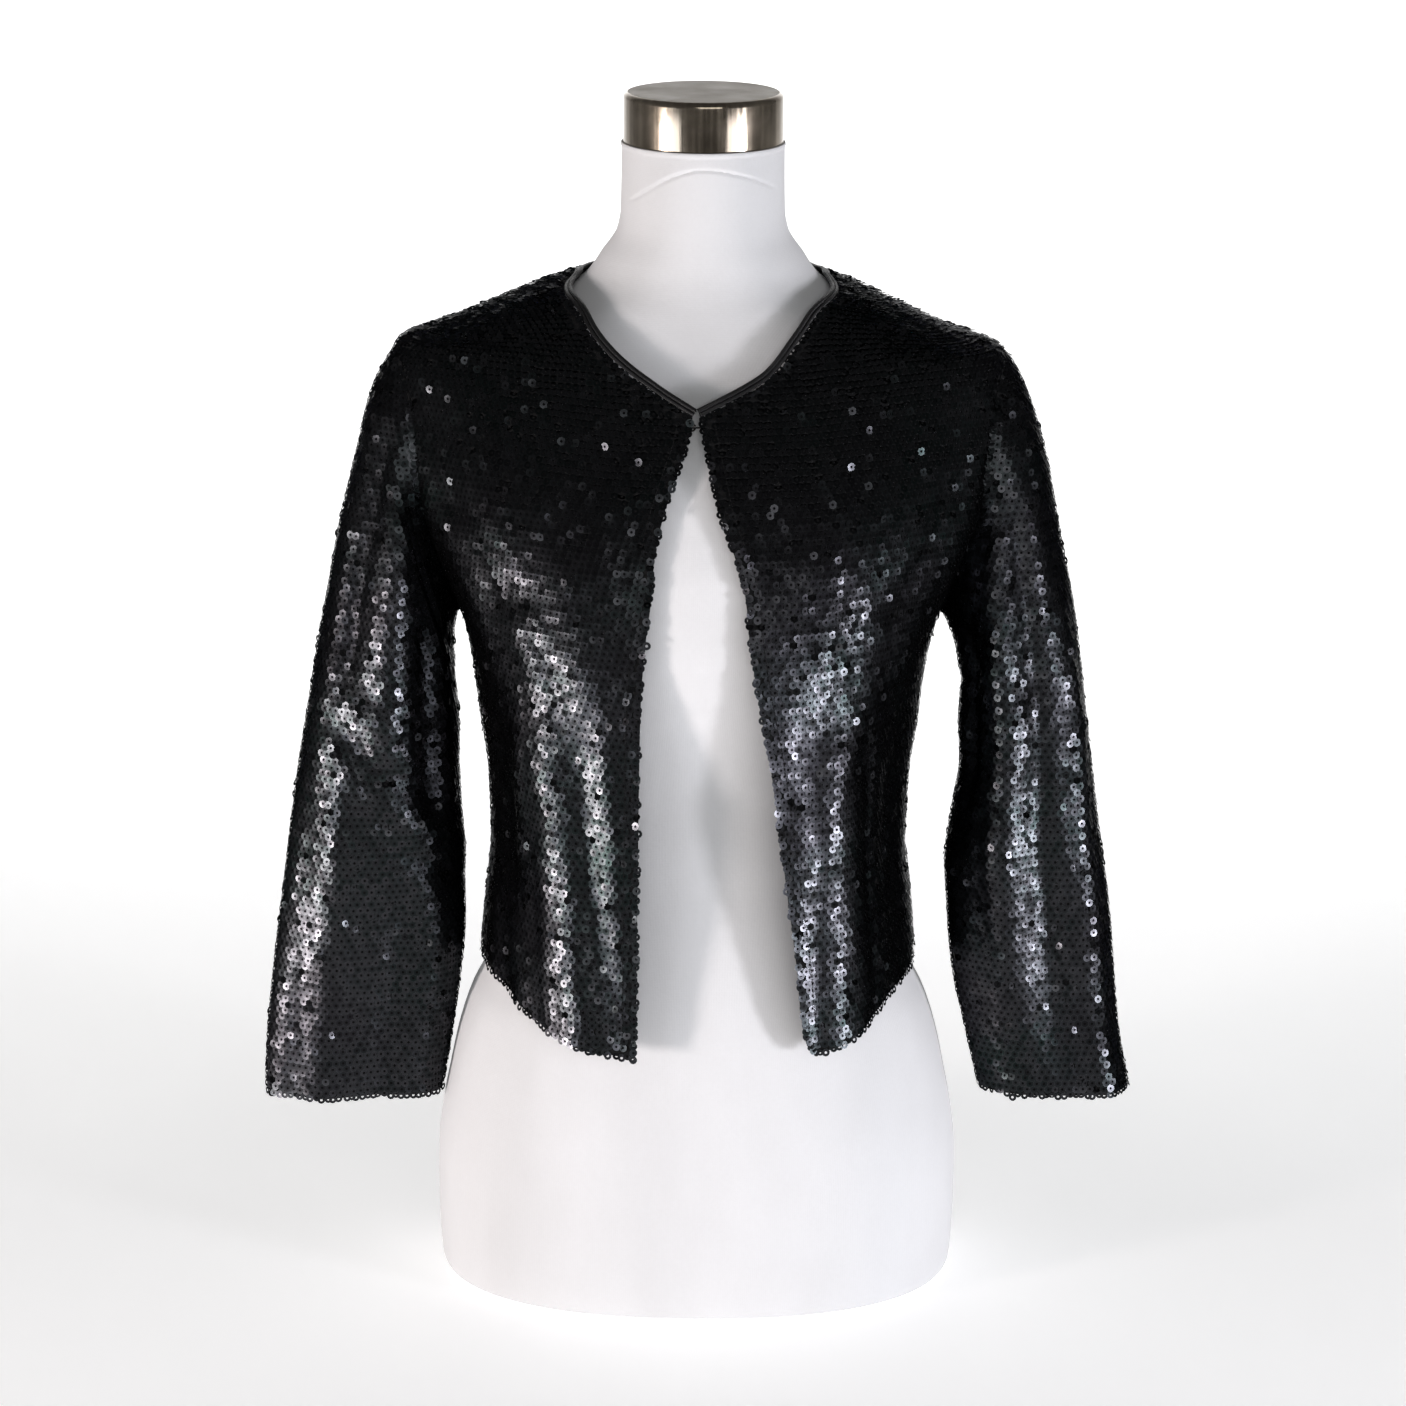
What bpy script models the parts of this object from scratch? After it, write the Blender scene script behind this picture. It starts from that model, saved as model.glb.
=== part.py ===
"""Cropped sequinned jacket with three-quarter sleeves, worn on a limbless dress form.

Metres, +Z up. The form stands on Z = 0 and faces -Y, so the wearer's left side is at +X.
The jacket is open cloth: two fronts, a back, two set-in sleeves, a narrow binding round the
neck, a facing inside the back neck, and a hook and eye that join the fronts at the neck.

Every body piece lies on one surface. A point of it is given by its turn, in degrees from
centre front towards +X, and its height. The surface's horizontal sections come from a short
table. A sleeve has its own table of sections, hung between its outer and its inner fold.
"""

import math
from collections import namedtuple

import bmesh
import bpy
import numpy as np

# Driving sizes
CLOTH = 0.0020  # thickness of the sequinned cloth with its backing
SEAM_GAP = 0.0003  # space between two pieces that are sewn together
SHOULDER_Z = 0.6180  # where the shoulder seam meets the sleeve
NECK_POINT_Z = 0.6600  # where the shoulder seam meets the neck binding
BACK_NECK_Z = 0.6625  # top edge of the back at centre back
UNDERARM_Z = 0.4490
THROAT_Z = 0.5920  # where the front edges meet the neck binding
ARMHOLE_FRONT_TURN = 13.5  # degrees that the armhole is cut into the front
ARMHOLE_BACK_TURN = 15.5
BODY_AXIS_Y = 0.0063  # the body's upright axis, which centres the whole on Y = 0
SHOULDER_DROP = 0.0035  # how much lower the +X shoulder sits

BINDING_WIDTH = 0.0055
BINDING_PROUD = 0.0006  # how far the binding stands out of the cloth
FACING_CLOTH = 0.0010

NECK_TOP_Z = 0.7420
CAP_RADIUS = 0.0490
CAP_HEIGHT = 0.0300
CAP_ROUNDING = 0.0035
WIRE_RADIUS = 0.00055
CLOSURE_Z = 0.5870  # height of the hook and eye
CLOSURE_GAP = 0.0009  # space between the cloth and the closure's wire
HOOK_BEND = 0.0017  # half the space between the hook's shank and its bill

# Horizontal sections of the jacket's body, lowest first. square is the power of the
# superellipse: 2 is an ellipse, and more is squarer.
Girth = namedtuple("Girth", "z half_width front back front_square back_square")
JACKET = (
    Girth(0.1500, 0.1410, 0.1195, 0.1140, 2.20, 2.20),
    Girth(0.1800, 0.1405, 0.1200, 0.1130, 2.20, 2.20),
    Girth(0.2200, 0.1395, 0.1205, 0.1110, 2.20, 2.20),
    Girth(0.2600, 0.1360, 0.1210, 0.1080, 2.20, 2.20),
    Girth(0.3000, 0.1320, 0.1220, 0.1040, 2.20, 2.20),
    Girth(0.3400, 0.1330, 0.1235, 0.1020, 2.20, 2.20),
    Girth(0.3800, 0.1380, 0.1250, 0.1030, 2.15, 2.20),
    Girth(0.4100, 0.1420, 0.1265, 0.1040, 2.10, 2.20),
    Girth(0.4400, 0.1480, 0.1275, 0.1060, 2.10, 2.20),
    Girth(0.4600, 0.1560, 0.1275, 0.1070, 2.05, 2.20),
    Girth(0.4900, 0.1700, 0.1265, 0.1080, 2.00, 2.20),
    Girth(0.5300, 0.1850, 0.1190, 0.1070, 2.00, 2.20),
    Girth(0.5700, 0.1900, 0.1050, 0.1030, 2.00, 2.20),
    Girth(0.6000, 0.1905, 0.0925, 0.0950, 2.00, 2.20),
    Girth(0.6180, 0.1870, 0.0830, 0.0880, 2.00, 2.10),
    Girth(0.6285, 0.1590, 0.0785, 0.0835, 2.00, 2.10),
    Girth(0.6410, 0.1290, 0.0725, 0.0765, 2.00, 2.05),
    Girth(0.6520, 0.1025, 0.0660, 0.0700, 2.00, 2.00),
    Girth(0.6600, 0.0790, 0.0610, 0.0640, 2.00, 2.00),
    Girth(0.6685, 0.0640, 0.0540, 0.0580, 2.00, 2.00),
    Girth(0.6800, 0.0473, 0.0430, 0.0460, 2.00, 2.00),
)
FORM = (
    Girth(0.0000, 0.1600, 0.0975, 0.1010, 2.30, 2.30),
    Girth(0.0025, 0.1645, 0.1020, 0.1055, 2.30, 2.30),
    Girth(0.0080, 0.1675, 0.1050, 0.1085, 2.30, 2.30),
    Girth(0.0250, 0.1688, 0.1065, 0.1100, 2.30, 2.30),
    Girth(0.0550, 0.1697, 0.1070, 0.1120, 2.30, 2.30),
    Girth(0.0850, 0.1693, 0.1060, 0.1130, 2.30, 2.30),
    Girth(0.1100, 0.1665, 0.1045, 0.1130, 2.30, 2.30),
    Girth(0.1370, 0.1613, 0.1025, 0.1110, 2.25, 2.30),
    Girth(0.1650, 0.1552, 0.1000, 0.1070, 2.20, 2.25),
    Girth(0.1900, 0.1470, 0.0980, 0.1020, 2.20, 2.20),
    Girth(0.2100, 0.1370, 0.0960, 0.0980, 2.15, 2.15),
    Girth(0.2500, 0.1245, 0.0910, 0.0880, 2.10, 2.10),
    Girth(0.2900, 0.1175, 0.0870, 0.0810, 2.10, 2.10),
    Girth(0.3300, 0.1160, 0.0870, 0.0790, 2.10, 2.10),
    Girth(0.3700, 0.1210, 0.0950, 0.0830, 2.10, 2.10),
    Girth(0.4100, 0.1290, 0.1070, 0.0890, 2.10, 2.10),
    Girth(0.4500, 0.1370, 0.1170, 0.0940, 2.05, 2.10),
    Girth(0.4900, 0.1430, 0.1190, 0.0960, 2.00, 2.10),
    Girth(0.5300, 0.1490, 0.1110, 0.0955, 2.00, 2.10),
    Girth(0.5650, 0.1570, 0.0975, 0.0920, 2.00, 2.10),
    Girth(0.5900, 0.1700, 0.0870, 0.0870, 2.00, 2.05),
    Girth(0.6020, 0.1770, 0.0800, 0.0830, 2.00, 2.00),
    Girth(0.6110, 0.1755, 0.0755, 0.0795, 2.00, 2.00),
    Girth(0.6180, 0.1690, 0.0715, 0.0765, 2.00, 2.00),
    Girth(0.6235, 0.1590, 0.0685, 0.0735, 2.00, 2.00),
    Girth(0.6300, 0.1435, 0.0655, 0.0700, 2.00, 2.00),
    Girth(0.6375, 0.1245, 0.0620, 0.0660, 2.00, 2.00),
    Girth(0.6460, 0.1030, 0.0585, 0.0620, 2.00, 2.00),
    Girth(0.6520, 0.0870, 0.0560, 0.0585, 2.00, 2.00),
    Girth(0.6570, 0.0760, 0.0545, 0.0560, 2.00, 2.00),
    Girth(0.6620, 0.0705, 0.0530, 0.0545, 2.00, 2.00),
    Girth(0.6680, 0.0660, 0.0518, 0.0530, 2.00, 2.00),
    Girth(0.6745, 0.0620, 0.0510, 0.0520, 2.00, 2.00),
    Girth(0.6810, 0.0570, 0.0503, 0.0508, 2.00, 2.00),
    Girth(0.6880, 0.0528, 0.0498, 0.0500, 2.00, 2.00),
    Girth(0.7000, 0.0505, 0.0495, 0.0495, 2.00, 2.00),
    Girth(0.7200, 0.0500, 0.0492, 0.0492, 2.00, 2.00),
    Girth(NECK_TOP_Z, 0.0498, 0.0490, 0.0490, 2.00, 2.00),
)

# Where the two open front edges hang, by height. right is the wearer's right, at -X.
Edge = namedtuple("Edge", "z right left")
FRONT_EDGES = (
    Edge(0.1700, -0.0390, 0.0800),
    Edge(0.1850, -0.0380, 0.0740),
    Edge(0.1890, -0.0378, 0.0700),
    Edge(0.1990, -0.0373, 0.0664),
    Edge(0.2160, -0.0369, 0.0637),
    Edge(0.2425, -0.0368, 0.0612),
    Edge(0.2660, -0.0368, 0.0583),
    Edge(0.2925, -0.0366, 0.0545),
    Edge(0.3190, -0.0362, 0.0510),
    Edge(0.3710, -0.0357, 0.0443),
    Edge(0.4235, -0.0346, 0.0350),
    Edge(0.4610, -0.0317, 0.0292),
    Edge(0.4865, -0.0285, 0.0268),
    Edge(0.5105, -0.0268, 0.0205),
    Edge(0.5340, -0.0220, 0.0118),
    Edge(0.5565, -0.0150, 0.0062),
    Edge(0.5790, -0.0072, 0.0012),
    Edge(0.5880, -0.0055, -0.0003),
    Edge(0.6050, -0.0050, -0.0005),
)

# The bottom edge on each side, by its turn from centre front.
Hem = namedtuple("Hem", "turn right left")
HEM = (
    Hem(0.0, 0.1870, 0.1840),
    Hem(18.0, 0.1865, 0.1820),
    Hem(28.0, 0.1870, 0.1825),
    Hem(38.0, 0.1915, 0.1865),
    Hem(50.0, 0.2005, 0.1960),
    Hem(58.0, 0.2070, 0.2025),
    Hem(68.0, 0.2140, 0.2105),
    Hem(77.0, 0.2180, 0.2155),
    Hem(90.0, 0.2205, 0.2205),
    Hem(135.0, 0.2225, 0.2225),
    Hem(180.0, 0.2225, 0.2225),
)

# The seam between a front and the neck binding, from the front edge up to the shoulder:
# how far it is from centre front on each side, by its height.
NeckSeam = namedtuple("NeckSeam", "z right left")
NECK_SEAM = (
    NeckSeam(0.6000, 0.0195, 0.0170),
    NeckSeam(0.6079, 0.0325, 0.0325),
    NeckSeam(0.6146, 0.0436, 0.0434),
    NeckSeam(0.6277, 0.0595, 0.0538),
    NeckSeam(0.6403, 0.0700, 0.0642),
    NeckSeam(0.6510, 0.0760, 0.0720),
)

# Long soft folds of the body. A fold runs from its low end to its high end, and height is
# how far the cloth stands out there, or in where it is below zero.
Fold = namedtuple("Fold", "low_turn low_z high_turn high_z spread height")
BODY_FOLDS = (
    Fold(-34.0, 0.170, -50.0, 0.450, 8.0, 0.0050),
    Fold(-63.0, 0.190, -66.0, 0.400, 8.0, -0.0040),
    Fold(-52.0, 0.470, -70.0, 0.545, 6.0, -0.0030),
    Fold(-66.0, 0.520, -76.0, 0.600, 5.0, -0.0035),
    Fold(46.0, 0.170, 40.0, 0.400, 8.0, 0.0050),
    Fold(30.0, 0.300, 52.0, 0.470, 7.0, 0.0030),
    Fold(66.0, 0.190, 64.0, 0.420, 8.0, -0.0040),
    Fold(54.0, 0.470, 70.0, 0.550, 6.0, -0.0030),
    Fold(66.0, 0.530, 75.0, 0.605, 5.0, -0.0030),
    Fold(118.0, 0.180, 124.0, 0.430, 9.0, 0.0045),
    Fold(150.0, 0.180, 143.0, 0.400, 9.0, -0.0035),
    Fold(-121.0, 0.180, -126.0, 0.420, 9.0, 0.0045),
    Fold(-153.0, 0.180, -145.0, 0.380, 9.0, -0.0035),
    Fold(112.0, 0.470, 128.0, 0.580, 7.0, -0.0030),
    Fold(-113.0, 0.470, -129.0, 0.570, 7.0, -0.0030),
)

# Sleeve sections, armhole first: the outer and the inner end of each, and how far the
# sleeve reaches to the front and back of the line between them.
Section = namedtuple("Section", "outer_x outer_z inner_x inner_z front back shift")
RIGHT_SLEEVE = (
    Section(0.1870, 0.6180, 0.1520, 0.4490, 0.0440, 0.0490, 0.000),
    Section(0.1963, 0.6020, 0.1548, 0.4400, 0.0450, 0.0495, -0.001),
    Section(0.2048, 0.5850, 0.1562, 0.4300, 0.0460, 0.0490, -0.002),
    Section(0.2148, 0.5450, 0.1565, 0.4160, 0.0460, 0.0480, -0.003),
    Section(0.2248, 0.5050, 0.1560, 0.4010, 0.0455, 0.0465, -0.004),
    Section(0.2353, 0.4520, 0.1542, 0.3800, 0.0440, 0.0440, -0.005),
    Section(0.2438, 0.4080, 0.1535, 0.3540, 0.0420, 0.0410, -0.006),
    Section(0.2518, 0.3620, 0.1530, 0.3250, 0.0390, 0.0380, -0.007),
    Section(0.2598, 0.3100, 0.1510, 0.2850, 0.0350, 0.0340, -0.008),
    Section(0.2668, 0.2580, 0.1508, 0.2440, 0.0300, 0.0300, -0.009),
    Section(0.2733, 0.2080, 0.1545, 0.2020, 0.0250, 0.0250, -0.010),
    Section(0.2783, 0.1660, 0.1600, 0.1640, 0.0200, 0.0200, -0.011),
    Section(0.2812, 0.1205, 0.1668, 0.1215, 0.0160, 0.0160, -0.012),
)
LEFT_SLEEVE = (
    Section(0.1870, 0.6145, 0.1520, 0.4490, 0.0440, 0.0490, 0.000),
    Section(0.1958, 0.6010, 0.1560, 0.4415, 0.0450, 0.0495, -0.001),
    Section(0.2038, 0.5830, 0.1610, 0.4290, 0.0460, 0.0490, -0.002),
    Section(0.2148, 0.5470, 0.1645, 0.4150, 0.0460, 0.0480, -0.003),
    Section(0.2233, 0.5050, 0.1662, 0.4000, 0.0455, 0.0465, -0.004),
    Section(0.2338, 0.4560, 0.1660, 0.3760, 0.0440, 0.0440, -0.005),
    Section(0.2413, 0.4080, 0.1667, 0.3500, 0.0420, 0.0410, -0.006),
    Section(0.2478, 0.3600, 0.1632, 0.3200, 0.0390, 0.0380, -0.007),
    Section(0.2548, 0.3100, 0.1592, 0.2850, 0.0360, 0.0350, -0.008),
    Section(0.2628, 0.2600, 0.1612, 0.2480, 0.0310, 0.0310, -0.009),
    Section(0.2683, 0.2080, 0.1662, 0.2050, 0.0270, 0.0270, -0.010),
    Section(0.2733, 0.1660, 0.1752, 0.1670, 0.0240, 0.0240, -0.011),
    Section(0.2812, 0.1280, 0.1837, 0.1280, 0.0220, 0.0220, -0.012),
)

# Folds along a sleeve: the turn of its line at both ends, 0 at the outer edge, 90 in front.
SleeveFold = namedtuple("SleeveFold", "top_turn top low_turn low spread height")
RIGHT_SLEEVE_FOLDS = (
    SleeveFold(52.0, 0.10, 58.0, 0.52, 13.0, -0.0050),
    SleeveFold(88.0, 0.15, 96.0, 0.60, 13.0, 0.0045),
    SleeveFold(122.0, 0.22, 132.0, 0.62, 12.0, -0.0050),
    SleeveFold(66.0, 0.60, 70.0, 1.00, 14.0, 0.0040),
    SleeveFold(112.0, 0.70, 108.0, 1.00, 13.0, -0.0035),
    SleeveFold(232.0, 0.16, 246.0, 0.60, 13.0, -0.0045),
    SleeveFold(284.0, 0.20, 292.0, 0.90, 14.0, 0.0040),
)
LEFT_SLEEVE_FOLDS = (
    SleeveFold(74.0, 0.10, 80.0, 0.92, 12.0, -0.0045),
    SleeveFold(106.0, 0.12, 110.0, 0.92, 13.0, 0.0050),
    SleeveFold(143.0, 0.16, 148.0, 0.60, 11.0, -0.0050),
    SleeveFold(40.0, 0.40, 46.0, 1.00, 12.0, 0.0045),
    SleeveFold(236.0, 0.16, 250.0, 0.66, 13.0, -0.0045),
    SleeveFold(288.0, 0.22, 286.0, 0.92, 14.0, 0.0040),
)
ARMHOLE_BLEND = 0.30  # share of the sleeve over which the armhole's shape fades out
SLEEVE_SQUARE = 2.15

# How finely each piece is divided
FRONT_GRID = (12, 28)
FRONT_SIDE_ROWS = 12  # rows of a front below the underarm
FRONT_EDGE_ROWS = 18  # rows of a front below the neck seam
BACK_GRID = (35, 25)
BACK_SIDE_ROWS = 9
BACK_NECK_COLUMNS = 6  # columns of each half of the back that end at the neck
FACING_COLUMNS = 6  # columns of each half of the back that the facing spans
SLEEVE_GRID = (30, 24)
FORM_TURNS = 36

Finish = namedtuple("Finish", "color roughness metallic")
SEQUINNED = Finish((0.012, 0.013, 0.014), 0.35, 0.3)
SATIN = Finish((0.010, 0.010, 0.011), 0.30, 0.0)
JERSEY = Finish((0.83, 0.83, 0.84), 0.75, 0.0)
BRUSHED = Finish((0.50, 0.47, 0.43), 0.28, 1.0)
DARK_METAL = Finish((0.05, 0.04, 0.035), 0.35, 1.0)


def eased(knots, values, at):
    """Values read from a table along a smooth curve that never overshoots its rows."""
    knots, values = np.array(knots, float), np.array(values, float)
    steps = np.diff(knots)
    slopes = np.diff(values) / steps
    tangents = np.empty(len(knots))
    tangents[0], tangents[-1] = slopes[0], slopes[-1]
    steady = slopes[:-1] * slopes[1:] > 0
    total = np.where(steady, slopes[:-1] + slopes[1:], 1.0)
    tangents[1:-1] = np.where(steady, 2 * slopes[:-1] * slopes[1:] / total, 0.0)
    at = np.clip(at, knots[0], knots[-1])
    row = np.clip(np.searchsorted(knots, at) - 1, 0, len(knots) - 2)
    t = (at - knots[row]) / steps[row]
    start = (1 + 2 * t) * (1 - t) ** 2 * values[row] + t * (1 - t) ** 2 * steps[row] * tangents[row]
    end = t * t * (3 - 2 * t) * values[row + 1] + t * t * (t - 1) * steps[row] * tangents[row + 1]
    return start + end


def column(table, name):
    return [getattr(row, name) for row in table]


def read(table, name, key, at):
    """One column of a table, read at values of its key column."""
    return eased(column(table, key), column(table, name), at)


def smooth_step(t):
    t = np.clip(t, 0.0, 1.0)
    return t * t * (3 - 2 * t)


def unit(vectors):
    return vectors / np.linalg.norm(vectors, axis=-1, keepdims=True)


def body_fold_height(turn, z):
    """How far the body's folds move the cloth out at a turn and height."""
    height = np.zeros(np.broadcast(turn, z).shape)
    for fold in BODY_FOLDS:
        along = (z - fold.low_z) / (fold.high_z - fold.low_z)
        line = fold.low_turn + (fold.high_turn - fold.low_turn) * np.clip(along, 0.0, 1.0)
        across = np.exp(-(((turn - line) / fold.spread) ** 2))
        ends = smooth_step((along + 0.15) / 0.3) if fold.low_z > 0.25 else 1.0
        height = height + fold.height * across * ends * smooth_step((1.15 - along) / 0.5)
    return height


def shoulder_drop(x, z):
    """How far the +X shoulder hangs below its place in the tables."""
    return SHOULDER_DROP * smooth_step((x - 0.075) / 0.07) * smooth_step((z - 0.52) / 0.08)


def on_girths(table, turn, z):
    """The point of a body at each turn and height, before any folds."""
    angle = np.radians(turn)
    facing_front = np.cos(angle) > 0
    half_width = read(table, "half_width", "z", z)
    depth = np.where(facing_front, read(table, "front", "z", z), read(table, "back", "z", z))
    square = np.where(
        facing_front,
        read(table, "front_square", "z", z),
        read(table, "back_square", "z", z),
    )
    sideways, forwards = np.abs(np.sin(angle)), np.abs(np.cos(angle))
    reach = ((sideways / half_width) ** square + (forwards / depth) ** square) ** (-1 / square)
    x = reach * np.sin(angle)
    y = BODY_AXIS_Y - reach * np.cos(angle)
    return np.stack([x, y, z - shoulder_drop(x, z)], axis=-1)


def normals_of(surface, first, second, first_step, second_step):
    """Outward directions of a surface, from the points a small step to each side."""
    along_first = surface(first + first_step, second) - surface(first - first_step, second)
    along_second = surface(first, second + second_step) - surface(first, second - second_step)
    return unit(np.cross(along_first, along_second))


def on_plain_body(turn, z):
    return on_girths(JACKET, turn, z)


def on_jacket(turn, z):
    """The point of the jacket's outer face at each turn and height, folds included."""
    plain = on_plain_body(turn, z)
    outward = normals_of(on_plain_body, turn, z, 0.2, 0.0005)
    return plain + outward * body_fold_height(turn, z)[..., None]


def jacket_outward(turn, z):
    return normals_of(on_jacket, turn, z, 0.2, 0.0005)


def turn_at(x, z):
    """The turn at which the jacket's front is x to the side, at one height."""
    half_width, depth = read(JACKET, "half_width", "z", z), read(JACKET, "front", "z", z)
    square = read(JACKET, "front_square", "z", z)
    forwards = depth * (1 - (np.abs(x) / half_width) ** square) ** (1 / square)
    return np.degrees(np.arctan2(x, forwards))


def hem_z(turn):
    right = read(HEM, "right", "turn", np.abs(turn))
    left = read(HEM, "left", "turn", np.abs(turn))
    return np.where(np.asarray(turn) > 0, left, right)


def armhole(around):
    """Turn and height of the +X armhole seam. around is 0 at the shoulder, 90 in front."""
    angle = np.radians(around)
    cut = np.where(np.sin(angle) > 0, ARMHOLE_FRONT_TURN, ARMHOLE_BACK_TURN)
    turn = 90.0 - cut * np.sin(angle)
    z = UNDERARM_Z + (SHOULDER_Z - UNDERARM_Z) * (1 + np.cos(angle)) / 2
    return turn, z


def neck_seam_turns(side, count):
    """Turns and heights down a front's neck seam, from the shoulder to the front edge."""
    name = "left" if side > 0 else "right"
    edge_x = float(read(FRONT_EDGES, name, "z", THROAT_Z))
    xs = [edge_x, *[side * x for x in column(NECK_SEAM, name)]]
    zs = [THROAT_Z, *column(NECK_SEAM, "z")]
    turns = [float(turn_at(x, z)) for x, z in zip(xs, zs)] + [side * 90.0]
    zs.append(NECK_POINT_Z)
    knots = np.linspace(0.0, 1.0, len(zs))
    at = np.linspace(0.0, 1.0, count)
    return eased(knots, turns, at), eased(knots, zs, at)


def seam_inset(turn, z):
    """Degrees that keep half a seam gap on one side of an upright seam."""
    reach = np.linalg.norm(on_plain_body(turn, z)[..., :2] - [0.0, BODY_AXIS_Y], axis=-1)
    return np.degrees(SEAM_GAP / 2 / reach)


def coons(left, right, bottom, top):
    """A grid of turns and heights that fills the four edge lines of a panel."""
    across, along = len(bottom), len(left)
    u = np.linspace(0.0, 1.0, across)[:, None, None]
    v = np.linspace(0.0, 1.0, along)[None, :, None]
    sides = (1 - u) * left[None] + u * right[None]
    ends = (1 - v) * bottom[:, None] + v * top[:, None]
    corners = (1 - u) * ((1 - v) * left[0] + v * left[-1]) + u * (
        (1 - v) * right[0] + v * right[-1]
    )
    return sides + ends - corners


def side_line(side, rows, low_rows, front):
    """A panel's outer edge: up the side seam, then round the armhole to the shoulder."""
    seam_turn = 90.0
    zs = np.linspace(float(hem_z(seam_turn)), UNDERARM_Z, low_rows + 1)
    around = np.linspace(180.0, 0.0 if front else 360.0, rows - low_rows)
    arm_turn, arm_z = armhole(around)
    turns = np.concatenate([np.full(low_rows, seam_turn), arm_turn])
    zs = np.concatenate([zs[:-1], arm_z])
    inset = seam_inset(turns, zs)
    turns = np.minimum(turns, 90.0 - inset) if front else np.maximum(turns, 90.0 + inset)
    return np.stack([side * turns, zs], axis=-1)


def rim_directions(side, around, own):
    """The way in through the cloth at the armhole, shared by the body and the sleeve on top."""
    sleeve_way = sleeve_outward(side, around, np.full(len(around), 0.02))
    turn, z = armhole(around)
    body_way = jacket_outward(side * turn, z)
    shared = unit(sleeve_way + body_way)
    on_top = smooth_step((np.cos(np.radians(around)) - 0.45) / 0.35)[:, None]
    return unit(shared * on_top + own * (1 - on_top))


def front_panel(side):
    """Outer points and outward directions of one front."""
    across, along = FRONT_GRID
    low_rows, edge_rows = FRONT_SIDE_ROWS, FRONT_EDGE_ROWS
    name = "left" if side > 0 else "right"
    corner_z = 0.1855
    for _ in range(8):
        corner_x = float(read(FRONT_EDGES, name, "z", corner_z))
        corner_z = float(hem_z(turn_at(corner_x, corner_z)))
    edge_z = np.linspace(corner_z, THROAT_Z, edge_rows + 1)
    edge_turn = turn_at(read(FRONT_EDGES, name, "z", edge_z), edge_z)
    neck_turn, neck_z = neck_seam_turns(side, along - edge_rows)
    left = np.stack(
        [np.concatenate([edge_turn[:-1], neck_turn]), np.concatenate([edge_z[:-1], neck_z])],
        axis=-1,
    )
    right = side_line(side, along, low_rows, front=True)
    top_z = np.linspace(NECK_POINT_Z, SHOULDER_Z, across)
    top_turn = side * (90.0 - seam_inset(90.0, top_z))
    left[-1, 0] = top_turn[0]
    right[-1, 0] = top_turn[-1]
    bottom_turn = np.linspace(left[0, 0], right[0, 0], across)
    bottom_z = hem_z(bottom_turn)
    bottom_z[0], bottom_z[-1] = left[0, 1], right[0, 1]
    grid = coons(
        left,
        right,
        np.stack([bottom_turn, bottom_z], axis=-1),
        np.stack([top_turn, top_z], axis=-1),
    )
    turn, z = grid[..., 0], grid[..., 1]
    points, outward = on_jacket(turn, z), jacket_outward(turn, z)
    around = np.linspace(180.0, 0.0, along - low_rows)
    outward[-1, low_rows:] = rim_directions(side, around, outward[-1, low_rows:])
    return points, outward


def back_half():
    """Turns and heights of the +X half of the back, from centre back to the side."""
    across, along = BACK_GRID[0] // 2 + 1, BACK_GRID[1]
    low_rows, neck_columns = BACK_SIDE_ROWS, BACK_NECK_COLUMNS
    left_z = np.linspace(float(hem_z(180.0)), BACK_NECK_Z, along)
    left = np.stack([np.full(along, 180.0), left_z], axis=-1)
    right = side_line(1, along, low_rows, front=False)
    neck_turn = 180.0 - 90.0 * np.linspace(0.0, 1.0, neck_columns + 1)
    rise = smooth_step((180.0 - neck_turn) / 90.0)
    neck_z = BACK_NECK_Z + (NECK_POINT_Z - BACK_NECK_Z) * rise
    seam_z = np.linspace(NECK_POINT_Z, SHOULDER_Z, across - neck_columns)
    top_z = np.concatenate([neck_z[:-1], seam_z])
    top_turn = np.concatenate([neck_turn[:-1], 90.0 + seam_inset(90.0, seam_z)])
    right[-1, 0] = top_turn[-1]
    bottom_turn = np.linspace(180.0, right[0, 0], across)
    bottom_z = hem_z(bottom_turn)
    return coons(
        left,
        right,
        np.stack([bottom_turn, bottom_z], axis=-1),
        np.stack([top_turn, top_z], axis=-1),
    )


def back_panel():
    """Outer points and outward directions of the back, from the +X side to the -X side."""
    half = back_half()
    other = half[:0:-1].copy()
    other[..., 0] = 360.0 - other[..., 0]
    grid = np.concatenate([other, half])[::-1]
    turn, z = grid[..., 0], grid[..., 1]
    signed = np.where(turn > 180.0, turn - 360.0, turn)
    points = on_jacket(signed, z)
    outward = jacket_outward(signed, z)
    around = np.linspace(180.0, 360.0, grid.shape[1] - BACK_SIDE_ROWS)
    for line, side in ((0, 1), (-1, -1)):
        rim = outward[line, BACK_SIDE_ROWS:]
        outward[line, BACK_SIDE_ROWS:] = rim_directions(side, around, rim)
    return points, outward


def sleeve_table(side):
    return LEFT_SLEEVE if side > 0 else RIGHT_SLEEVE


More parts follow.
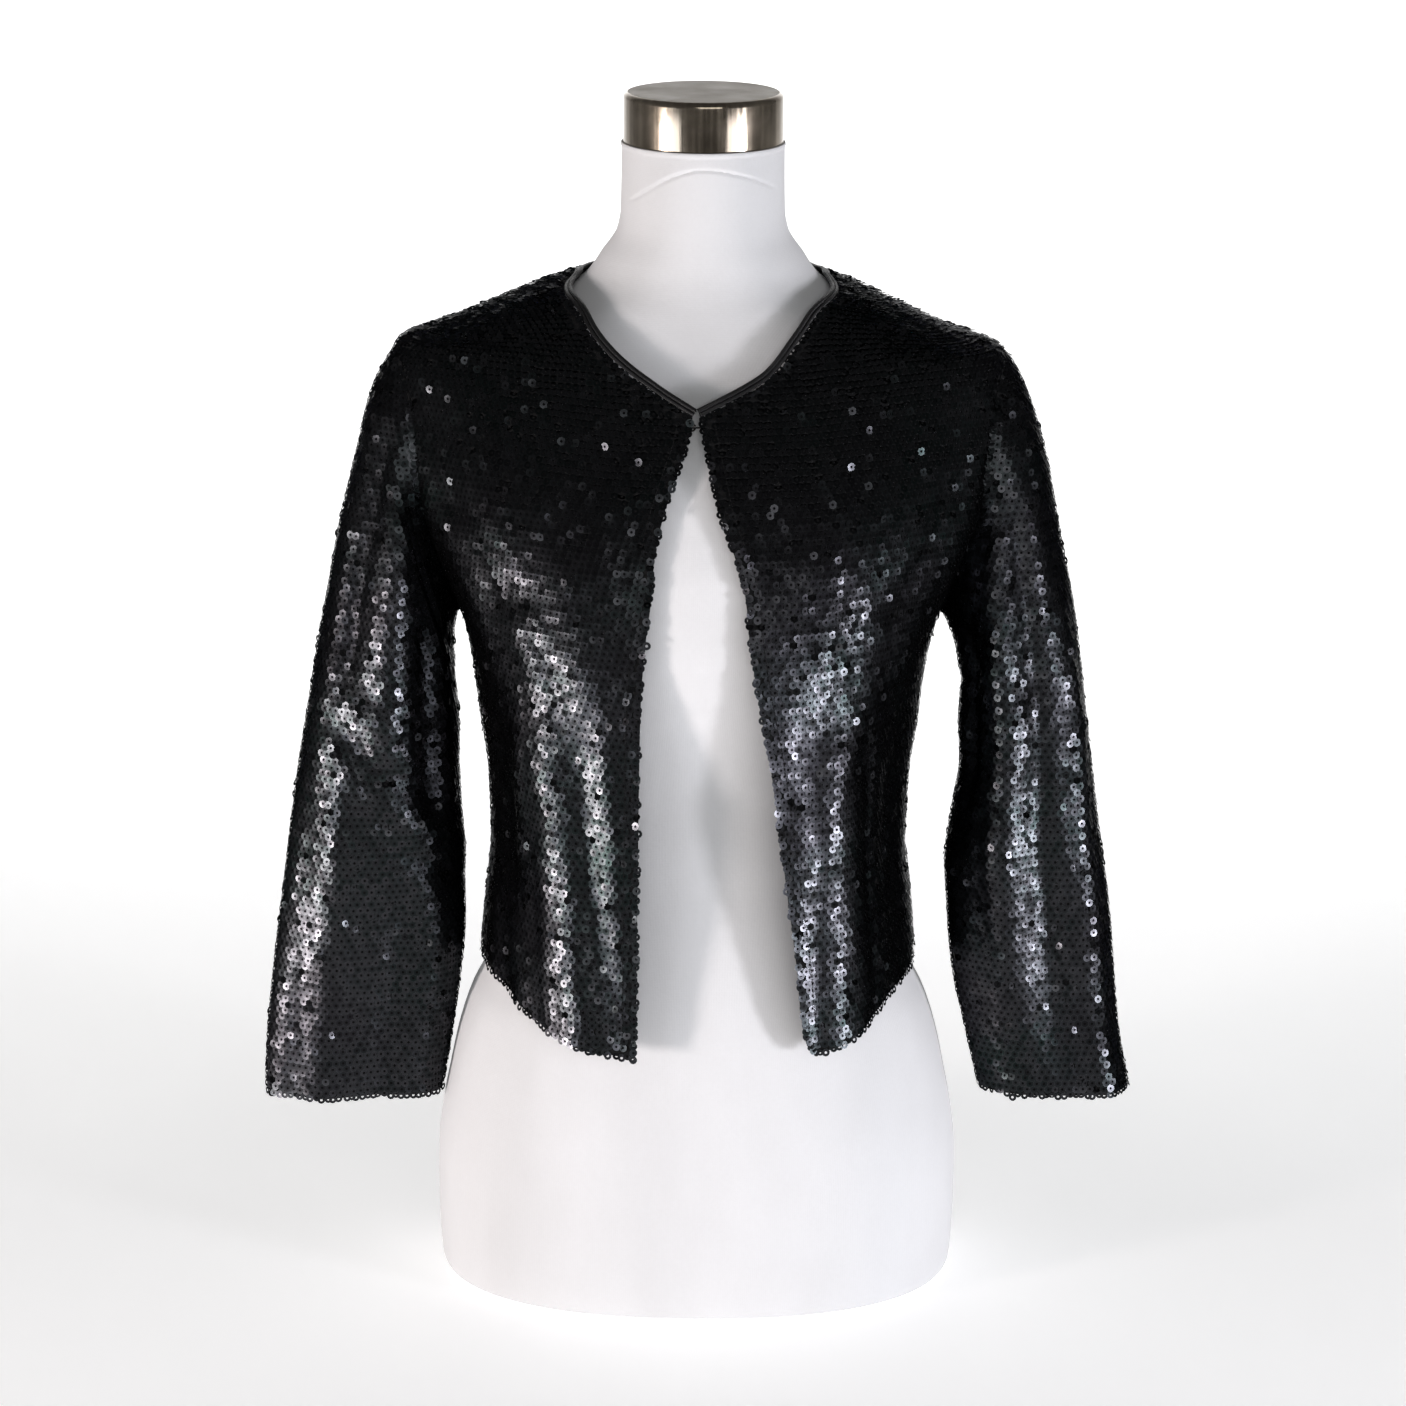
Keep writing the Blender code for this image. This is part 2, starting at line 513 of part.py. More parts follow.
def sleeve_section(side, around, down):
    """The point of a sleeve's plain section, without folds or the armhole's own shape."""
    table = sleeve_table(side)
    knots = np.linspace(0.0, 1.0, len(table))
    names = Section._fields
    values = {name: eased(knots, column(table, name), down) for name in names}
    angle = np.radians(around)
    outwards, forwards = np.cos(angle), np.sin(angle)
    reach = (np.abs(outwards) ** SLEEVE_SQUARE + np.abs(forwards) ** SLEEVE_SQUARE) ** (
        -1 / SLEEVE_SQUARE
    )
    depth = np.where(forwards > 0, values["front"], values["back"])
    half_x = (values["outer_x"] - values["inner_x"]) / 2
    half_z = (values["outer_z"] - values["inner_z"]) / 2
    x = (values["outer_x"] + values["inner_x"]) / 2 + half_x * reach * outwards
    z = (values["outer_z"] + values["inner_z"]) / 2 + half_z * reach * outwards
    y = BODY_AXIS_Y + values["shift"] - depth * reach * forwards
    return np.stack([side * x, y, z], axis=-1)


def on_plain_sleeve(side, around, down):
    """The sleeve's section with the armhole's shape faded in towards its top."""
    turn, z = armhole(around)
    seam = on_jacket(side * turn, z) + [side * 1.4 * SEAM_GAP, 0.0, 0.0]
    offset = seam - sleeve_section(side, around, np.zeros(np.shape(around)))
    fade = 1 - smooth_step(down / ARMHOLE_BLEND)
    return sleeve_section(side, around, down) + offset * fade[..., None]


def sleeve_fold_height(side, around, down):
    height = np.zeros(np.shape(around))
    for fold in LEFT_SLEEVE_FOLDS if side > 0 else RIGHT_SLEEVE_FOLDS:
        along = (down - fold.top) / (fold.low - fold.top)
        line = fold.top_turn + (fold.low_turn - fold.top_turn) * np.clip(along, 0.0, 1.0)
        away = (np.mod(around, 360.0) - line + 180.0) % 360.0 - 180.0
        across = np.exp(-((away / fold.spread) ** 2))
        low_end = 1.0 if fold.low >= 1.0 else smooth_step((1.15 - along) / 0.4)
        height = height + fold.height * across * smooth_step((along + 0.1) / 0.35) * low_end
    return height


def sleeve_points(side, around, down):
    """The point of a sleeve's outer face: around it, and down it from 0 to 1 at the cuff."""

    def plain(angle, share):
        return on_plain_sleeve(side, angle, share)

    outward = side * normals_of(plain, around, down, 1.0, 0.004)
    return plain(around, down) + outward * sleeve_fold_height(side, around, down)[..., None]


def sleeve_outward(side, around, down):
    def surface(angle, share):
        return sleeve_points(side, angle, share)

    return side * normals_of(surface, around, down, 1.0, 0.004)


def sleeve(side):
    """Outer points and outward directions of one sleeve, closed round its tube."""
    turns, steps = SLEEVE_GRID
    around = np.linspace(0.0, 360.0, turns + 1)[:, None] + np.zeros((1, steps))
    down = np.linspace(0.0, 1.0, steps)[None, :] ** 1.05 + np.zeros((turns + 1, 1))
    points = sleeve_points(side, around, down)
    outward = sleeve_outward(side, around, np.clip(down, 0.004, 0.996))
    outward[:, 0] = rim_directions(side, around[:, 0], outward[:, 0])
    points[-1], outward[-1] = points[0], outward[0]
    return points, outward


def cloth_wall(name, outer, outward, thickness, joined=False):
    """A closed wall of cloth: the outer grid, the same grid moved in, and the rim."""
    across, along = outer.shape[0] - 1, outer.shape[1] - 1
    mesh = bmesh.new()
    inward = mesh.verts.layers.float_vector.new("inward")
    bmesh.ops.create_grid(mesh, x_segments=across, y_segments=along, size=0.5)
    for vert in mesh.verts:
        i, j = round((vert.co.x + 0.5) * across), round((vert.co.y + 0.5) * along)
        vert.co = outer[i, j]
        vert[inward] = -thickness * outward[i, j]
    if joined:
        bmesh.ops.remove_doubles(mesh, verts=mesh.verts, dist=1e-7)
    made = bmesh.ops.extrude_face_region(mesh, geom=mesh.faces[:], use_keep_orig=True)
    for item in made["geom"]:
        if isinstance(item, bmesh.types.BMVert):
            item.co += item[inward]
    mesh.verts.layers.float_vector.remove(inward)
    return finish_mesh(name, mesh)


def finish_mesh(name, mesh):
    """The object of a closed mesh, with its faces turned out and shaded smooth."""
    bmesh.ops.recalc_face_normals(mesh, faces=mesh.faces)
    data = bpy.data.meshes.new(name)
    mesh.to_mesh(data)
    mesh.free()
    data.shade_smooth()
    data.set_sharp_from_angle(angle=math.radians(40))
    piece = bpy.data.objects.new(name, data)
    bpy.context.scene.collection.objects.link(piece)
    return piece


def dress_form():
    """The limbless torso with its neck, flat below and on top."""
    rows = len(FORM)
    turn = np.linspace(-180.0, 180.0, FORM_TURNS + 1)[:, None] + np.zeros((1, rows))
    z = np.array(column(FORM, "z"))[None, :] + np.zeros((FORM_TURNS + 1, 1))
    points = on_girths(FORM, turn, z)
    points[-1] = points[0]
    mesh = bmesh.new()
    bmesh.ops.create_grid(mesh, x_segments=FORM_TURNS, y_segments=rows - 1, size=0.5)
    for vert in mesh.verts:
        i, j = round((vert.co.x + 0.5) * FORM_TURNS), round((vert.co.y + 0.5) * (rows - 1))
        vert.co = points[i, j]
    bmesh.ops.remove_doubles(mesh, verts=mesh.verts, dist=1e-7)
    bmesh.ops.holes_fill(mesh, edges=[edge for edge in mesh.edges if edge.is_boundary], sides=0)
    return finish_mesh("dress_form", mesh)


def neck_cap():
    """The round metal cap on the form's neck, with a rounded top rim."""
    bottom_z = NECK_TOP_Z + SEAM_GAP
    mesh = bmesh.new()
    bmesh.ops.create_cone(
        mesh,
        cap_ends=True,
        segments=48,
        radius1=CAP_RADIUS,
        radius2=CAP_RADIUS,
        depth=CAP_HEIGHT,
    )
    top = [edge for edge in mesh.edges if all(vert.co.z > 0 for vert in edge.verts)]
    bmesh.ops.bevel(
        mesh,
        geom=top,
        offset=CAP_ROUNDING,
        segments=3,
        profile=0.5,
        affect="EDGES",
        material=-1,
    )
    centre = (0.0, BODY_AXIS_Y, bottom_z + CAP_HEIGHT / 2)
    bmesh.ops.translate(mesh, verts=mesh.verts, vec=centre)
    return finish_mesh("neck_cap", mesh)


def neck_seam(right_front, back, left_front):
    """The panels' own points along the neck seam, from the -X front edge to the +X one."""
    middle, columns = BACK_GRID[0] // 2, BACK_NECK_COLUMNS - 1
    lines = []
    for of_right, of_back, of_left in zip(right_front, back, left_front):
        neck_of_back = of_back[middle - columns : middle + columns + 1, -1][::-1]
        right = of_right[0, FRONT_EDGE_ROWS:]
        left = of_left[0, FRONT_EDGE_ROWS:][::-1]
        lines.append(np.concatenate([right, neck_of_back, left]))
    return lines


def neck_binding(right_front, back, left_front):
    """The narrow folded strip that closes the neck edge, swept along the neck seam."""
    seam, outward = neck_seam(right_front, back, left_front)
    along = unit(np.gradient(seam, axis=0))
    inwards = unit(np.cross(outward, along))
    inwards *= np.sign(inwards[:, 2].sum())
    profile = (
        (SEAM_GAP, -CLOTH),
        (SEAM_GAP, BINDING_PROUD),
        (0.8 * BINDING_WIDTH, BINDING_PROUD),
        (BINDING_WIDTH, -0.4 * CLOTH),
        (0.8 * BINDING_WIDTH, -CLOTH),
    )
    rings = [seam + inwards * side + outward * rise for side, rise in profile]
    return swept("neck_binding", np.stack(rings + rings[:1]))


def swept(name, rings):
    """A closed strip: a loop of lines, each as long as the strip, with its two ends filled."""
    across, along = rings.shape[0] - 1, rings.shape[1] - 1
    mesh = bmesh.new()
    bmesh.ops.create_grid(mesh, x_segments=across, y_segments=along, size=0.5)
    for vert in mesh.verts:
        i, j = round((vert.co.x + 0.5) * across), round((vert.co.y + 0.5) * along)
        vert.co = rings[i, j]
    bmesh.ops.remove_doubles(mesh, verts=mesh.verts, dist=1e-7)
    bmesh.ops.holes_fill(mesh, edges=[edge for edge in mesh.edges if edge.is_boundary], sides=0)
    return finish_mesh(name, mesh)


def back_neck_facing(back):
    """The satin strip inside the back neck, a gap below the cloth of the back."""
    middle = BACK_GRID[0] // 2
    columns = slice(middle - FACING_COLUMNS, middle + FACING_COLUMNS + 1)
    points, outward = back[0][columns, -2:], back[1][columns, -2:]
    inside = points - outward * (CLOTH + SEAM_GAP)
    return cloth_wall("back_neck_facing", inside, outward, FACING_CLOTH)


def wire(name, points):
    """A bent round wire through the points, with its ends closed."""
    data = bpy.data.curves.new(name, "CURVE")
    data.dimensions = "3D"
    data.bevel_depth = WIRE_RADIUS
    data.bevel_resolution = 1
    data.use_fill_caps = True
    spline = data.splines.new("POLY")
    spline.points.add(len(points) - 1)
    for target, point in zip(spline.points, points):
        target.co = (*point, 1.0)
    piece = bpy.data.objects.new(name, data)
    bpy.context.scene.collection.objects.link(piece)
    return piece


def closure_place(depth):
    """The middle of the closure, this far below the cloth, with the outward direction."""
    turn, z = np.array([0.0]), np.array([CLOSURE_Z])
    outward = jacket_outward(turn, z)[0]
    return on_jacket(turn, z)[0] - outward * (CLOTH + CLOSURE_GAP + WIRE_RADIUS + depth), outward


def eye():
    """The wire loop sewn inside the -X front, reaching across the gap."""
    place, _ = closure_place(HOOK_BEND)
    base_x, tip_x, half = -0.0120, -0.0035, 0.0024
    arc = np.radians(np.linspace(90.0, -90.0, 9))
    loop = [(tip_x - half + half * math.cos(a), half * math.sin(a)) for a in arc]
    outline = [(base_x, half), *loop, (base_x, -half)]
    return wire("eye", [place + np.array([x, 0.0, z]) for x, z in outline])


def hook():
    """The wire hook sewn inside the +X front, its bill turned back over the eye."""
    place, outward = closure_place(HOOK_BEND)
    base_x, bend_x, bend_reach, bill_x = 0.0075, -0.0074, 0.0011, -0.0032
    arc = np.radians(np.linspace(-90.0, 90.0, 9))
    shank = [(base_x, -HOOK_BEND)]
    bend = [(bend_x - bend_reach * math.cos(a), HOOK_BEND * math.sin(a)) for a in arc]
    outline = [*shank, *bend, (bill_x, HOOK_BEND)]
    return wire("hook", [place + np.array([x, 0.0, 0.0]) + outward * rise for x, rise in outline])


def paint(piece, finish):
    material = bpy.data.materials.new(piece.name)
    material.use_nodes = True
    shader = material.node_tree.nodes["Principled BSDF"]
    shader.inputs["Base Color"].default_value = (*finish.color, 1.0)
    shader.inputs["Roughness"].default_value = finish.roughness
    shader.inputs["Metallic"].default_value = finish.metallic
    piece.data.materials.append(material)


def clear_scene():
    for item in list(bpy.data.objects):
        bpy.data.objects.remove(item)


def main():
    clear_scene()
    paint(dress_form(), JERSEY)
    paint(neck_cap(), BRUSHED)
    left_front, right_front, back = front_panel(1), front_panel(-1), back_panel()
    paint(cloth_wall("left_front", *left_front, CLOTH), SEQUINNED)
    paint(cloth_wall("right_front", *right_front, CLOTH), SEQUINNED)
    paint(cloth_wall("back", *back, CLOTH), SEQUINNED)
    paint(cloth_wall("left_sleeve", *sleeve(1), CLOTH, joined=True), SEQUINNED)
    paint(cloth_wall("right_sleeve", *sleeve(-1), CLOTH, joined=True), SEQUINNED)
    paint(neck_binding(right_front, back, left_front), SATIN)
    paint(back_neck_facing(back), SATIN)
    paint(eye(), DARK_METAL)
    paint(hook(), DARK_METAL)


main()
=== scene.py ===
"""A black sequinned jacket on a white dress form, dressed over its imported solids.

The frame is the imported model, in metres with +Z up and the front facing -Y. Each cut piece
of the jacket becomes a thin shell on the same surface as its solid, with finer creases, and
carries its own rows of overlapping sequins. The surfaces are the ones that the solids come
from: a point of the body is given by its turn from centre front and its height, and a point
of a sleeve by the angle round it and the share of the way down to the cuff.
"""

import logging
import math
from collections.abc import Callable, Sequence
from dataclasses import dataclass
from enum import Enum
from typing import NamedTuple

import bmesh
import bpy
import numpy as np
from bmesh.types import BMesh, BMVert
from bpy.types import Material, Mesh, Node, NodeSocket, Object, World
from mathutils import Matrix, Vector


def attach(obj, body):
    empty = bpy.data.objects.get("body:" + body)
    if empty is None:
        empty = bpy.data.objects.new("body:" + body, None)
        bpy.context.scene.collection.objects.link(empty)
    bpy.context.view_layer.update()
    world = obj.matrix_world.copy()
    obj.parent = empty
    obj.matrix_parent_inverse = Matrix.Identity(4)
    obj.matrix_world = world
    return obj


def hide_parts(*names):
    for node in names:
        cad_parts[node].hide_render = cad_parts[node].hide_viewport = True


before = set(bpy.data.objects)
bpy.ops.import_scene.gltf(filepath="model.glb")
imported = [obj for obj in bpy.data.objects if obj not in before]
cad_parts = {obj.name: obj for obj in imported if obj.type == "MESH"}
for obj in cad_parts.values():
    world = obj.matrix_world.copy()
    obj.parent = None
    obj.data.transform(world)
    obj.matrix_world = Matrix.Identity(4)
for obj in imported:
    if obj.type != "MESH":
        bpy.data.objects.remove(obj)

log = logging.getLogger("sequinned_jacket")

Array = np.ndarray
Surface = Callable[[Array, Array], Array]

# How far to step along a surface's two parameters to find which way it faces
BODY_STEPS = (0.2, 0.0005)
FORM_STEPS = (0.3, 0.0005)
SLEEVE_STEPS = (1.0, 0.004)

# The small unevenness of the cloth: its height, and how far a place is across the cloth
BODY_UNEVENNESS = 0.00070
SLEEVE_UNEVENNESS = 0.0006
METRES_PER_DEGREE = 0.0022
SLEEVE_RADIUS = 0.06
SLEEVE_OFFSET = 0.02
SLEEVE_LENGTH = 0.45

# How meshes are joined and shaded
MERGE = 1e-6
SHARP_ANGLE = 42.0

# How finely the neck seam is read, and over how many of its places a corner is rounded
NECK_FINENESS = 201
NECK_ROUNDING = 30

# Sizes shared with the solids
CLOTH = 0.0020
SEAM_GAP = 0.0003
SHOULDER_Z = 0.6180
NECK_POINT_Z = 0.6600
BACK_NECK_Z = 0.6625
UNDERARM_Z = 0.4490
THROAT_Z = 0.5920
ARMHOLE_FRONT_TURN = 13.5
ARMHOLE_BACK_TURN = 15.5
BODY_AXIS_Y = 0.0063
SHOULDER_DROP = 0.0035
BINDING_WIDTH = 0.0055
BINDING_PROUD = 0.0006
NECK_TOP_Z = 0.7420
CAP_RADIUS = 0.0490
CAP_HEIGHT = 0.0300
ARMHOLE_BLEND = 0.30
SLEEVE_SQUARE = 2.15
SLEEVE_GAPS = 1.4
PATCH_TOP_Z = 0.6685


class Girth(NamedTuple):
    """One horizontal section of a body. square is the power of its superellipse."""

    z: float
    half_width: float
    front: float
    back: float
    front_square: float = 2.0
    back_square: float = 2.0


class Edge(NamedTuple):
    """Where the two front edges hang at one height."""

    z: float
    right: float
    left: float


class Hem(NamedTuple):
    """The bottom edge's height on each side at one turn from centre front."""

    turn: float
    right: float
    left: float


class NeckSeam(NamedTuple):
    """How far the neck seam is from centre front on each side at one height."""

    z: float
    right: float
    left: float


class Fold(NamedTuple):
    """A soft fold of the body from its low end to its high end."""

    low_turn: float
    low_z: float
    high_turn: float
    high_z: float
    spread: float
    height: float


class Section(NamedTuple):
    """A sleeve's section: its outer and inner ends and its reach to the front and back."""

    outer_x: float
    outer_z: float
    inner_x: float
    inner_z: float
    front: float
    back: float
    shift: float


class SleeveFold(NamedTuple):
    """A fold along a sleeve: the turn of its line at both ends, 0 outside and 90 in front."""

    top_turn: float
    top: float
    low_turn: float
    low: float
    spread: float
    height: float


class SleeveCrease(NamedTuple):
    """A short crease across a sleeve, at a share of the way down and round an angle."""

    around: float
    down: float
    reach: float
    width: float
    slope: float
    height: float


# Horizontal sections of the jacket's body and of the form, lowest first. A square of 2 is
# an ellipse, and more is squarer.
JACKET = (
    Girth(0.1500, 0.1410, 0.1195, 0.1140, 2.20, 2.20),
    Girth(0.1800, 0.1405, 0.1200, 0.1130, 2.20, 2.20),
    Girth(0.2200, 0.1395, 0.1205, 0.1110, 2.20, 2.20),
    Girth(0.2600, 0.1360, 0.1210, 0.1080, 2.20, 2.20),
    Girth(0.3000, 0.1320, 0.1220, 0.1040, 2.20, 2.20),
    Girth(0.3400, 0.1330, 0.1235, 0.1020, 2.20, 2.20),
    Girth(0.3800, 0.1380, 0.1250, 0.1030, 2.15, 2.20),
    Girth(0.4100, 0.1420, 0.1265, 0.1040, 2.10, 2.20),
    Girth(0.4400, 0.1480, 0.1275, 0.1060, 2.10, 2.20),
    Girth(0.4600, 0.1560, 0.1275, 0.1070, 2.05, 2.20),
    Girth(0.4900, 0.1700, 0.1265, 0.1080, 2.00, 2.20),
    Girth(0.5300, 0.1850, 0.1190, 0.1070, 2.00, 2.20),
    Girth(0.5700, 0.1900, 0.1050, 0.1030, 2.00, 2.20),
    Girth(0.6000, 0.1905, 0.0925, 0.0950, 2.00, 2.20),
    Girth(0.6180, 0.1870, 0.0830, 0.0880, 2.00, 2.10),
    Girth(0.6285, 0.1590, 0.0785, 0.0835, 2.00, 2.10),
    Girth(0.6410, 0.1290, 0.0725, 0.0765, 2.00, 2.05),
    Girth(0.6520, 0.1025, 0.0660, 0.0700),
    Girth(0.6600, 0.0790, 0.0610, 0.0640),
    Girth(0.6685, 0.0640, 0.0540, 0.0580),
    Girth(0.6800, 0.0473, 0.0430, 0.0460),
)
FORM = (
    Girth(0.0000, 0.1600, 0.0975, 0.1010, 2.30, 2.30),
    Girth(0.0025, 0.1645, 0.1020, 0.1055, 2.30, 2.30),
    Girth(0.0080, 0.1675, 0.1050, 0.1085, 2.30, 2.30),
    Girth(0.0250, 0.1688, 0.1065, 0.1100, 2.30, 2.30),
    Girth(0.0550, 0.1697, 0.1070, 0.1120, 2.30, 2.30),
    Girth(0.0850, 0.1693, 0.1060, 0.1130, 2.30, 2.30),
    Girth(0.1100, 0.1665, 0.1045, 0.1130, 2.30, 2.30),
    Girth(0.1370, 0.1613, 0.1025, 0.1110, 2.25, 2.30),
    Girth(0.1650, 0.1552, 0.1000, 0.1070, 2.20, 2.25),
    Girth(0.1900, 0.1470, 0.0980, 0.1020, 2.20, 2.20),
    Girth(0.2100, 0.1370, 0.0960, 0.0980, 2.15, 2.15),
    Girth(0.2500, 0.1245, 0.0910, 0.0880, 2.10, 2.10),
    Girth(0.2900, 0.1175, 0.0870, 0.0810, 2.10, 2.10),
    Girth(0.3300, 0.1160, 0.0870, 0.0790, 2.10, 2.10),
    Girth(0.3700, 0.1210, 0.0950, 0.0830, 2.10, 2.10),
    Girth(0.4100, 0.1290, 0.1070, 0.0890, 2.10, 2.10),
    Girth(0.4500, 0.1370, 0.1170, 0.0940, 2.05, 2.10),
    Girth(0.4900, 0.1430, 0.1190, 0.0960, 2.00, 2.10),
    Girth(0.5300, 0.1490, 0.1110, 0.0955, 2.00, 2.10),
    Girth(0.5650, 0.1570, 0.0975, 0.0920, 2.00, 2.10),
    Girth(0.5900, 0.1700, 0.0870, 0.0870, 2.00, 2.05),
    Girth(0.6020, 0.1770, 0.0800, 0.0830),
    Girth(0.6110, 0.1755, 0.0755, 0.0795),
    Girth(0.6180, 0.1690, 0.0715, 0.0765),
    Girth(0.6235, 0.1590, 0.0685, 0.0735),
    Girth(0.6300, 0.1435, 0.0655, 0.0700),
    Girth(0.6375, 0.1245, 0.0620, 0.0660),
    Girth(0.6460, 0.1030, 0.0585, 0.0620),
    Girth(0.6520, 0.0870, 0.0560, 0.0585),
    Girth(0.6570, 0.0760, 0.0545, 0.0560),
    Girth(0.6620, 0.0705, 0.0530, 0.0545),
    Girth(0.6680, 0.0660, 0.0518, 0.0530),
    Girth(0.6745, 0.0620, 0.0510, 0.0520),
    Girth(0.6810, 0.0570, 0.0503, 0.0508),
    Girth(0.6880, 0.0528, 0.0498, 0.0500),
    Girth(0.7000, 0.0505, 0.0495, 0.0495),
    Girth(0.7200, 0.0500, 0.0492, 0.0492),
    Girth(NECK_TOP_Z, 0.0498, 0.0490, 0.0490),
)

# Where the two open front edges hang, by height. right is the wearer's right, at -X.
FRONT_EDGES = (
    Edge(0.1700, -0.0390, 0.0800),
    Edge(0.1850, -0.0380, 0.0740),
    Edge(0.1890, -0.0378, 0.0700),
    Edge(0.1990, -0.0373, 0.0664),
    Edge(0.2160, -0.0369, 0.0637),
    Edge(0.2425, -0.0368, 0.0612),
    Edge(0.2660, -0.0368, 0.0583),
    Edge(0.2925, -0.0366, 0.0545),
    Edge(0.3190, -0.0362, 0.0510),
    Edge(0.3710, -0.0357, 0.0443),
    Edge(0.4235, -0.0346, 0.0350),
    Edge(0.4610, -0.0317, 0.0292),
    Edge(0.4865, -0.0285, 0.0268),
    Edge(0.5105, -0.0268, 0.0205),
    Edge(0.5340, -0.0220, 0.0118),
    Edge(0.5565, -0.0150, 0.0062),
    Edge(0.5790, -0.0072, 0.0012),
    Edge(0.5880, -0.0055, -0.0003),
    Edge(0.6050, -0.0050, -0.0005),
)

# The bottom edge on each side, by its turn from centre front.
HEM = (
    Hem(0.0, 0.1870, 0.1840),
    Hem(18.0, 0.1865, 0.1820),
    Hem(28.0, 0.1870, 0.1825),
    Hem(38.0, 0.1915, 0.1865),
    Hem(50.0, 0.2005, 0.1960),
    Hem(58.0, 0.2070, 0.2025),
    Hem(68.0, 0.2140, 0.2105),
    Hem(77.0, 0.2180, 0.2155),
    Hem(90.0, 0.2205, 0.2205),
    Hem(135.0, 0.2225, 0.2225),
    Hem(180.0, 0.2225, 0.2225),
)

# The seam between a front and the neck binding, from the front edge up to the shoulder:
# how far it is from centre front on each side, by its height.
NECK_SEAM = (
    NeckSeam(0.6000, 0.0195, 0.0170),
    NeckSeam(0.6079, 0.0325, 0.0325),
    NeckSeam(0.6146, 0.0436, 0.0434),
    NeckSeam(0.6277, 0.0595, 0.0538),
    NeckSeam(0.6403, 0.0700, 0.0642),
    NeckSeam(0.6510, 0.0760, 0.0720),
)

# Long soft folds of the body. A fold runs from its low end to its high end, and height is
# how far the cloth stands out there, or in where it is below zero.
BODY_FOLDS = (
    Fold(-34.0, 0.170, -50.0, 0.450, 8.0, 0.0050),
    Fold(-63.0, 0.190, -66.0, 0.400, 8.0, -0.0040),
    Fold(-52.0, 0.470, -70.0, 0.545, 6.0, -0.0030),
    Fold(-66.0, 0.520, -76.0, 0.600, 5.0, -0.0035),
    Fold(46.0, 0.170, 40.0, 0.400, 8.0, 0.0050),
    Fold(30.0, 0.300, 52.0, 0.470, 7.0, 0.0030),
    Fold(66.0, 0.190, 64.0, 0.420, 8.0, -0.0040),
    Fold(54.0, 0.470, 70.0, 0.550, 6.0, -0.0030),
    Fold(66.0, 0.530, 75.0, 0.605, 5.0, -0.0030),
    Fold(118.0, 0.180, 124.0, 0.430, 9.0, 0.0045),
    Fold(150.0, 0.180, 143.0, 0.400, 9.0, -0.0035),
    Fold(-121.0, 0.180, -126.0, 0.420, 9.0, 0.0045),
    Fold(-153.0, 0.180, -145.0, 0.380, 9.0, -0.0035),
    Fold(112.0, 0.470, 128.0, 0.580, 7.0, -0.0030),
    Fold(-113.0, 0.470, -129.0, 0.570, 7.0, -0.0030),
)

# Sleeve sections, armhole first: the outer and the inner end of each, and how far the
# sleeve reaches to the front and back of the line between them.
RIGHT_SLEEVE = (
    Section(0.1870, 0.6180, 0.1520, 0.4490, 0.0440, 0.0490, 0.000),
    Section(0.1963, 0.6020, 0.1548, 0.4400, 0.0450, 0.0495, -0.001),
    Section(0.2048, 0.5850, 0.1562, 0.4300, 0.0460, 0.0490, -0.002),
    Section(0.2148, 0.5450, 0.1565, 0.4160, 0.0460, 0.0480, -0.003),
    Section(0.2248, 0.5050, 0.1560, 0.4010, 0.0455, 0.0465, -0.004),
    Section(0.2353, 0.4520, 0.1542, 0.3800, 0.0440, 0.0440, -0.005),
    Section(0.2438, 0.4080, 0.1535, 0.3540, 0.0420, 0.0410, -0.006),
    Section(0.2518, 0.3620, 0.1530, 0.3250, 0.0390, 0.0380, -0.007),
    Section(0.2598, 0.3100, 0.1510, 0.2850, 0.0350, 0.0340, -0.008),
    Section(0.2668, 0.2580, 0.1508, 0.2440, 0.0300, 0.0300, -0.009),
    Section(0.2733, 0.2080, 0.1545, 0.2020, 0.0250, 0.0250, -0.010),
    Section(0.2783, 0.1660, 0.1600, 0.1640, 0.0200, 0.0200, -0.011),
    Section(0.2812, 0.1205, 0.1668, 0.1215, 0.0160, 0.0160, -0.012),
)
LEFT_SLEEVE = (
    Section(0.1870, 0.6145, 0.1520, 0.4490, 0.0440, 0.0490, 0.000),
    Section(0.1958, 0.6010, 0.1560, 0.4415, 0.0450, 0.0495, -0.001),
    Section(0.2038, 0.5830, 0.1610, 0.4290, 0.0460, 0.0490, -0.002),
    Section(0.2148, 0.5470, 0.1645, 0.4150, 0.0460, 0.0480, -0.003),
    Section(0.2233, 0.5050, 0.1662, 0.4000, 0.0455, 0.0465, -0.004),
    Section(0.2338, 0.4560, 0.1660, 0.3760, 0.0440, 0.0440, -0.005),
    Section(0.2413, 0.4080, 0.1667, 0.3500, 0.0420, 0.0410, -0.006),
    Section(0.2478, 0.3600, 0.1632, 0.3200, 0.0390, 0.0380, -0.007),
    Section(0.2548, 0.3100, 0.1592, 0.2850, 0.0360, 0.0350, -0.008),
    Section(0.2628, 0.2600, 0.1612, 0.2480, 0.0310, 0.0310, -0.009),
    Section(0.2683, 0.2080, 0.1662, 0.2050, 0.0270, 0.0270, -0.010),
    Section(0.2733, 0.1660, 0.1752, 0.1670, 0.0240, 0.0240, -0.011),
    Section(0.2812, 0.1280, 0.1837, 0.1280, 0.0220, 0.0220, -0.012),
)

